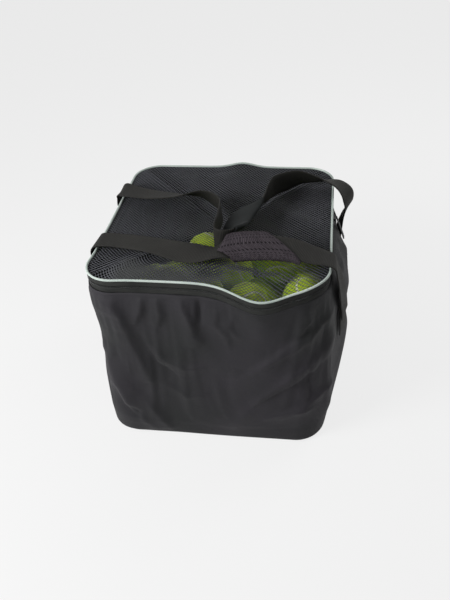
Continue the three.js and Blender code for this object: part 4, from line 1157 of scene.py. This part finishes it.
def grip_sleeve(name, route, cut, width, thickness, fullness):
    """A padded tube round the webbing. cut gives the rows of the route where its two ends lie at its
    front edge, its middle and its rear edge."""
    last = len(route) - 1
    first, final = min(cut[0]), max(cut[1])
    frames = route_frames(route, first / last, final / last, SLEEVE_FRAMES)

    def at_row(row):
        place = (row - first) / (final - first) * SLEEVE_FRAMES
        low = min(int(place), SLEEVE_FRAMES - 1)
        part = place - low
        return [a * (1 - part) + b * part for a, b in zip(frames[low], frames[low + 1])]

    outer_rows, inner_rows = [], []
    for k in range(SLEEVE_STEPS + 1):
        share = k / SLEEVE_STEPS
        ends = min(1, min(share, 1 - share) / 0.06)
        full = 0.7 + 0.3 * math.sqrt(ends * (2 - ends))
        outer, inner = [], []
        for i in range(SLEEVE_SIDES):
            angle = 2 * math.pi * i / SLEEVE_SIDES
            a, b = (math.copysign(abs(wave) ** fullness, wave) for wave in (math.cos(angle), math.sin(angle)))
            start, end = (np.interp(a, (-1, 0, 1), ends_at) for ends_at in cut)
            centre, across, out = at_row(start + (end - start) * share)
            outer.append(Vector(centre + across * (a * width / 2) + out * (b * full * thickness / 2)))
            inner.append(Vector(centre + across * (a * (WEB_WIDTH / 2 + SLEEVE_GAP))
                                + out * (b * (WEB_THICKNESS / 2 + SLEEVE_GAP))))
        outer_rows.append(outer)
        inner_rows.append(inner)
    run = run_marks(frames)[-1]
    marks = [0.0] + [0.005 + run * k / SLEEVE_STEPS for k in range(SLEEVE_STEPS + 1)]
    marks += [marks[-1] + 0.005 + run * k / SLEEVE_STEPS for k in range(SLEEVE_STEPS + 1)]
    around = math.pi * (width + thickness) / 2
    sleeve = grid_mesh(name, [inner_rows[0]] + outer_rows + inner_rows[::-1], closed=True, flat=(
        [around * i / SLEEVE_SIDES for i in range(SLEEVE_SIDES + 1)], marks))
    finish_faces(sleeve, merge=1e-7)
    return sleeve


ribbed_sleeve = grip_sleeve("ribbed_grip", FRONT_ROUTE, cut=((10.75, 10.15, 10.75), (13.7, 12.8, 12.05)),
                            width=0.050, thickness=0.010, fullness=0.55)
smooth_sleeve = grip_sleeve("smooth_grip", REAR_ROUTE, cut=((16.3, 16.0, 15.7), (20.7, 20.7, 20.5)),
                            width=0.045, thickness=0.008, fullness=0.5)
ribbed_cloth, shader, place = start_material(
    "dark heather ribbed cloth", roughness=0.9, specular_ior_level=0.1)
marks = add_node(ribbed_cloth, "TexCoord").outputs["UV"]
# The dark mortar lines between the columns paint shade into the grooves between the ribs. The heather noise
# is the yarn's own tone.
columns = add_node(ribbed_cloth, "TexBrick", {
    "Vector": marks, "Color1": (1, 1, 1, 1), "Color2": (0.55, 0.55, 0.55, 1), "Mortar": (0, 0, 0, 1),
    "Scale": 1.0, "Mortar Size": 0.0009, "Mortar Smooth": 1.0, "Brick Width": 0.0068,
    "Row Height": 0.0036}).outputs["Color"]
relief = add_node(ribbed_cloth, "RGBToBW", {"Color": columns}).outputs[0]
heather = noise(ribbed_cloth, place, 520.0, 2.0)
heather_and_groove_shade = add_node(ribbed_cloth, "Math", {0: heather, 1: relief}, operation="MULTIPLY").outputs[0]
heather_and_groove_shade = add_node(ribbed_cloth, "Math", {0: relief, 1: 0.6, 2: heather_and_groove_shade},
                    operation="MULTIPLY_ADD").outputs[0]
join_up(ribbed_cloth, shader,
        base_color=colour_between(ribbed_cloth, heather_and_groove_shade, "#161416", "#453f44", 0.05, 0.95),
        normal=bump(ribbed_cloth, relief, 0.8, 0.0012))
give(ribbed_sleeve, ribbed_cloth, "front_handle")
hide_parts("front_handle_sleeve")

coated_foam, shader, place = start_material(
    "dark grey coated foam", roughness=0.8, specular_ior_level=0.12)
join_up(coated_foam, shader,
        base_color=colour_between(coated_foam, noise(coated_foam, place, 25.0), "#151717", "#1d1f1f"),
        normal=bump(coated_foam, noise(coated_foam, place, 700.0), 0.35, 0.0004))
give(smooth_sleeve, coated_foam, "rear_handle")
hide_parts("rear_handle_sleeve")


# Zip slider and pull. The slider is die-cast and enamelled black: a plate with a bridge on its face.
# A ribbed rubber tab hangs from the bridge as its pull. Both keep their CAD solids' shape.
enamel, shader, place = start_material(
    "black enamelled zinc", roughness=0.35, metallic=0.4, coat_weight=0.3)
join_up(enamel, shader, base_color=colour_between(enamel, noise(enamel, place, 260.0), "#19191a", "#2c2c2d"))
coat(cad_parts["zip_slider"], enamel)
moulded_rubber, shader, place = start_material(
    "black moulded rubber", roughness=0.65, specular_ior_level=0.25)
grip_ribs = add_node(moulded_rubber, "TexWave", {
    "Vector": place, "Scale": wave_scale(0.0025), "Distortion": 0.2}, bands_direction="Z").outputs["Fac"]
join_up(moulded_rubber, shader, base_color=colour_between(
    moulded_rubber, noise(moulded_rubber, place, 500.0, 2.0), "#1b1c1c", "#2b2c2c"),
    normal=bump(moulded_rubber, grip_ribs, 0.6, 0.0005))
coat(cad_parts["zip_pull"], moulded_rubber)


# Floor and light. Floor and world are nearly the same pale grey to the camera, and the floor keeps a
# soft shadow. A soft lamp stands high at the front left, and a weaker one behind on the right.
BACKDROP = "#f1f1f1"


def show_backdrop(material_or_world, shaded, part):
    """Adds the backdrop's own colour, where it is seen directly, reflected or through glass. part is
    its share of what shows there."""
    light_path = add_node(material_or_world, "LightPath")
    seen = light_path.outputs["Is Camera Ray"]
    for name in ("Is Glossy Ray", "Is Transmission Ray"):
        seen = add_node(material_or_world, "Math", {0: seen, 1: light_path.outputs[name]},
                        operation="MAXIMUM").outputs[0]
    seen = add_node(material_or_world, "Math", {0: seen, 1: part}, operation="MULTIPLY").outputs[0]
    is_world = isinstance(material_or_world, bpy.types.World)
    glow = add_node(material_or_world, "Background" if is_world else "Emission", {
        "Color": linear(BACKDROP), "Strength": 1.0})
    mixed = add_node(material_or_world, "MixShader", {0: seen, 1: shaded, 2: glow.outputs[0]})
    tree = material_or_world.node_tree
    output = tree.nodes["World Output" if is_world else "Material Output"]
    tree.links.new(mixed.outputs[0], output.inputs["Surface"])


bpy.ops.mesh.primitive_plane_add(size=8, location=(0, 0, 0))
floor = bpy.context.object
floor.name = "floor"
floor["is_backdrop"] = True
floor_paint, shader, place = start_material(
    "pale floor", base_color=linear("#f4f4f4"), roughness=0.95, specular_ior_level=0.0)
show_backdrop(floor_paint, shader.outputs[0], 0.9)
floor.data.materials.append(floor_paint)

world = bpy.data.worlds.new("studio")
bpy.context.scene.world = world
world.use_nodes = True
sky = world.node_tree.nodes["Background"]
sky.inputs["Color"].default_value = (1, 1, 1, 1)
sky.inputs["Strength"].default_value = 0.28
show_backdrop(world, sky.outputs[0], 1.0)


def soft_light(name, place, target, size, power):
    lamp = bpy.data.objects.new(name, bpy.data.lights.new(name, "AREA"))
    bpy.context.scene.collection.objects.link(lamp)
    lamp.data.shape = "DISK"
    lamp.data.size = size
    lamp.data.energy = power
    lamp.location = place
    lamp.rotation_euler = (Vector(target) - Vector(place)).to_track_quat("-Z", "Y").to_euler()


soft_light("key_light", (-0.92, -0.78, 0.95), (-0.03, 0, 0.2), 0.6, 24)
soft_light("right_light", (0.9, 0.75, 1.3), (0, 0, 0.25), 0.8, 9)
bpy.context.scene.view_settings.view_transform = "Standard"

low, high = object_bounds()
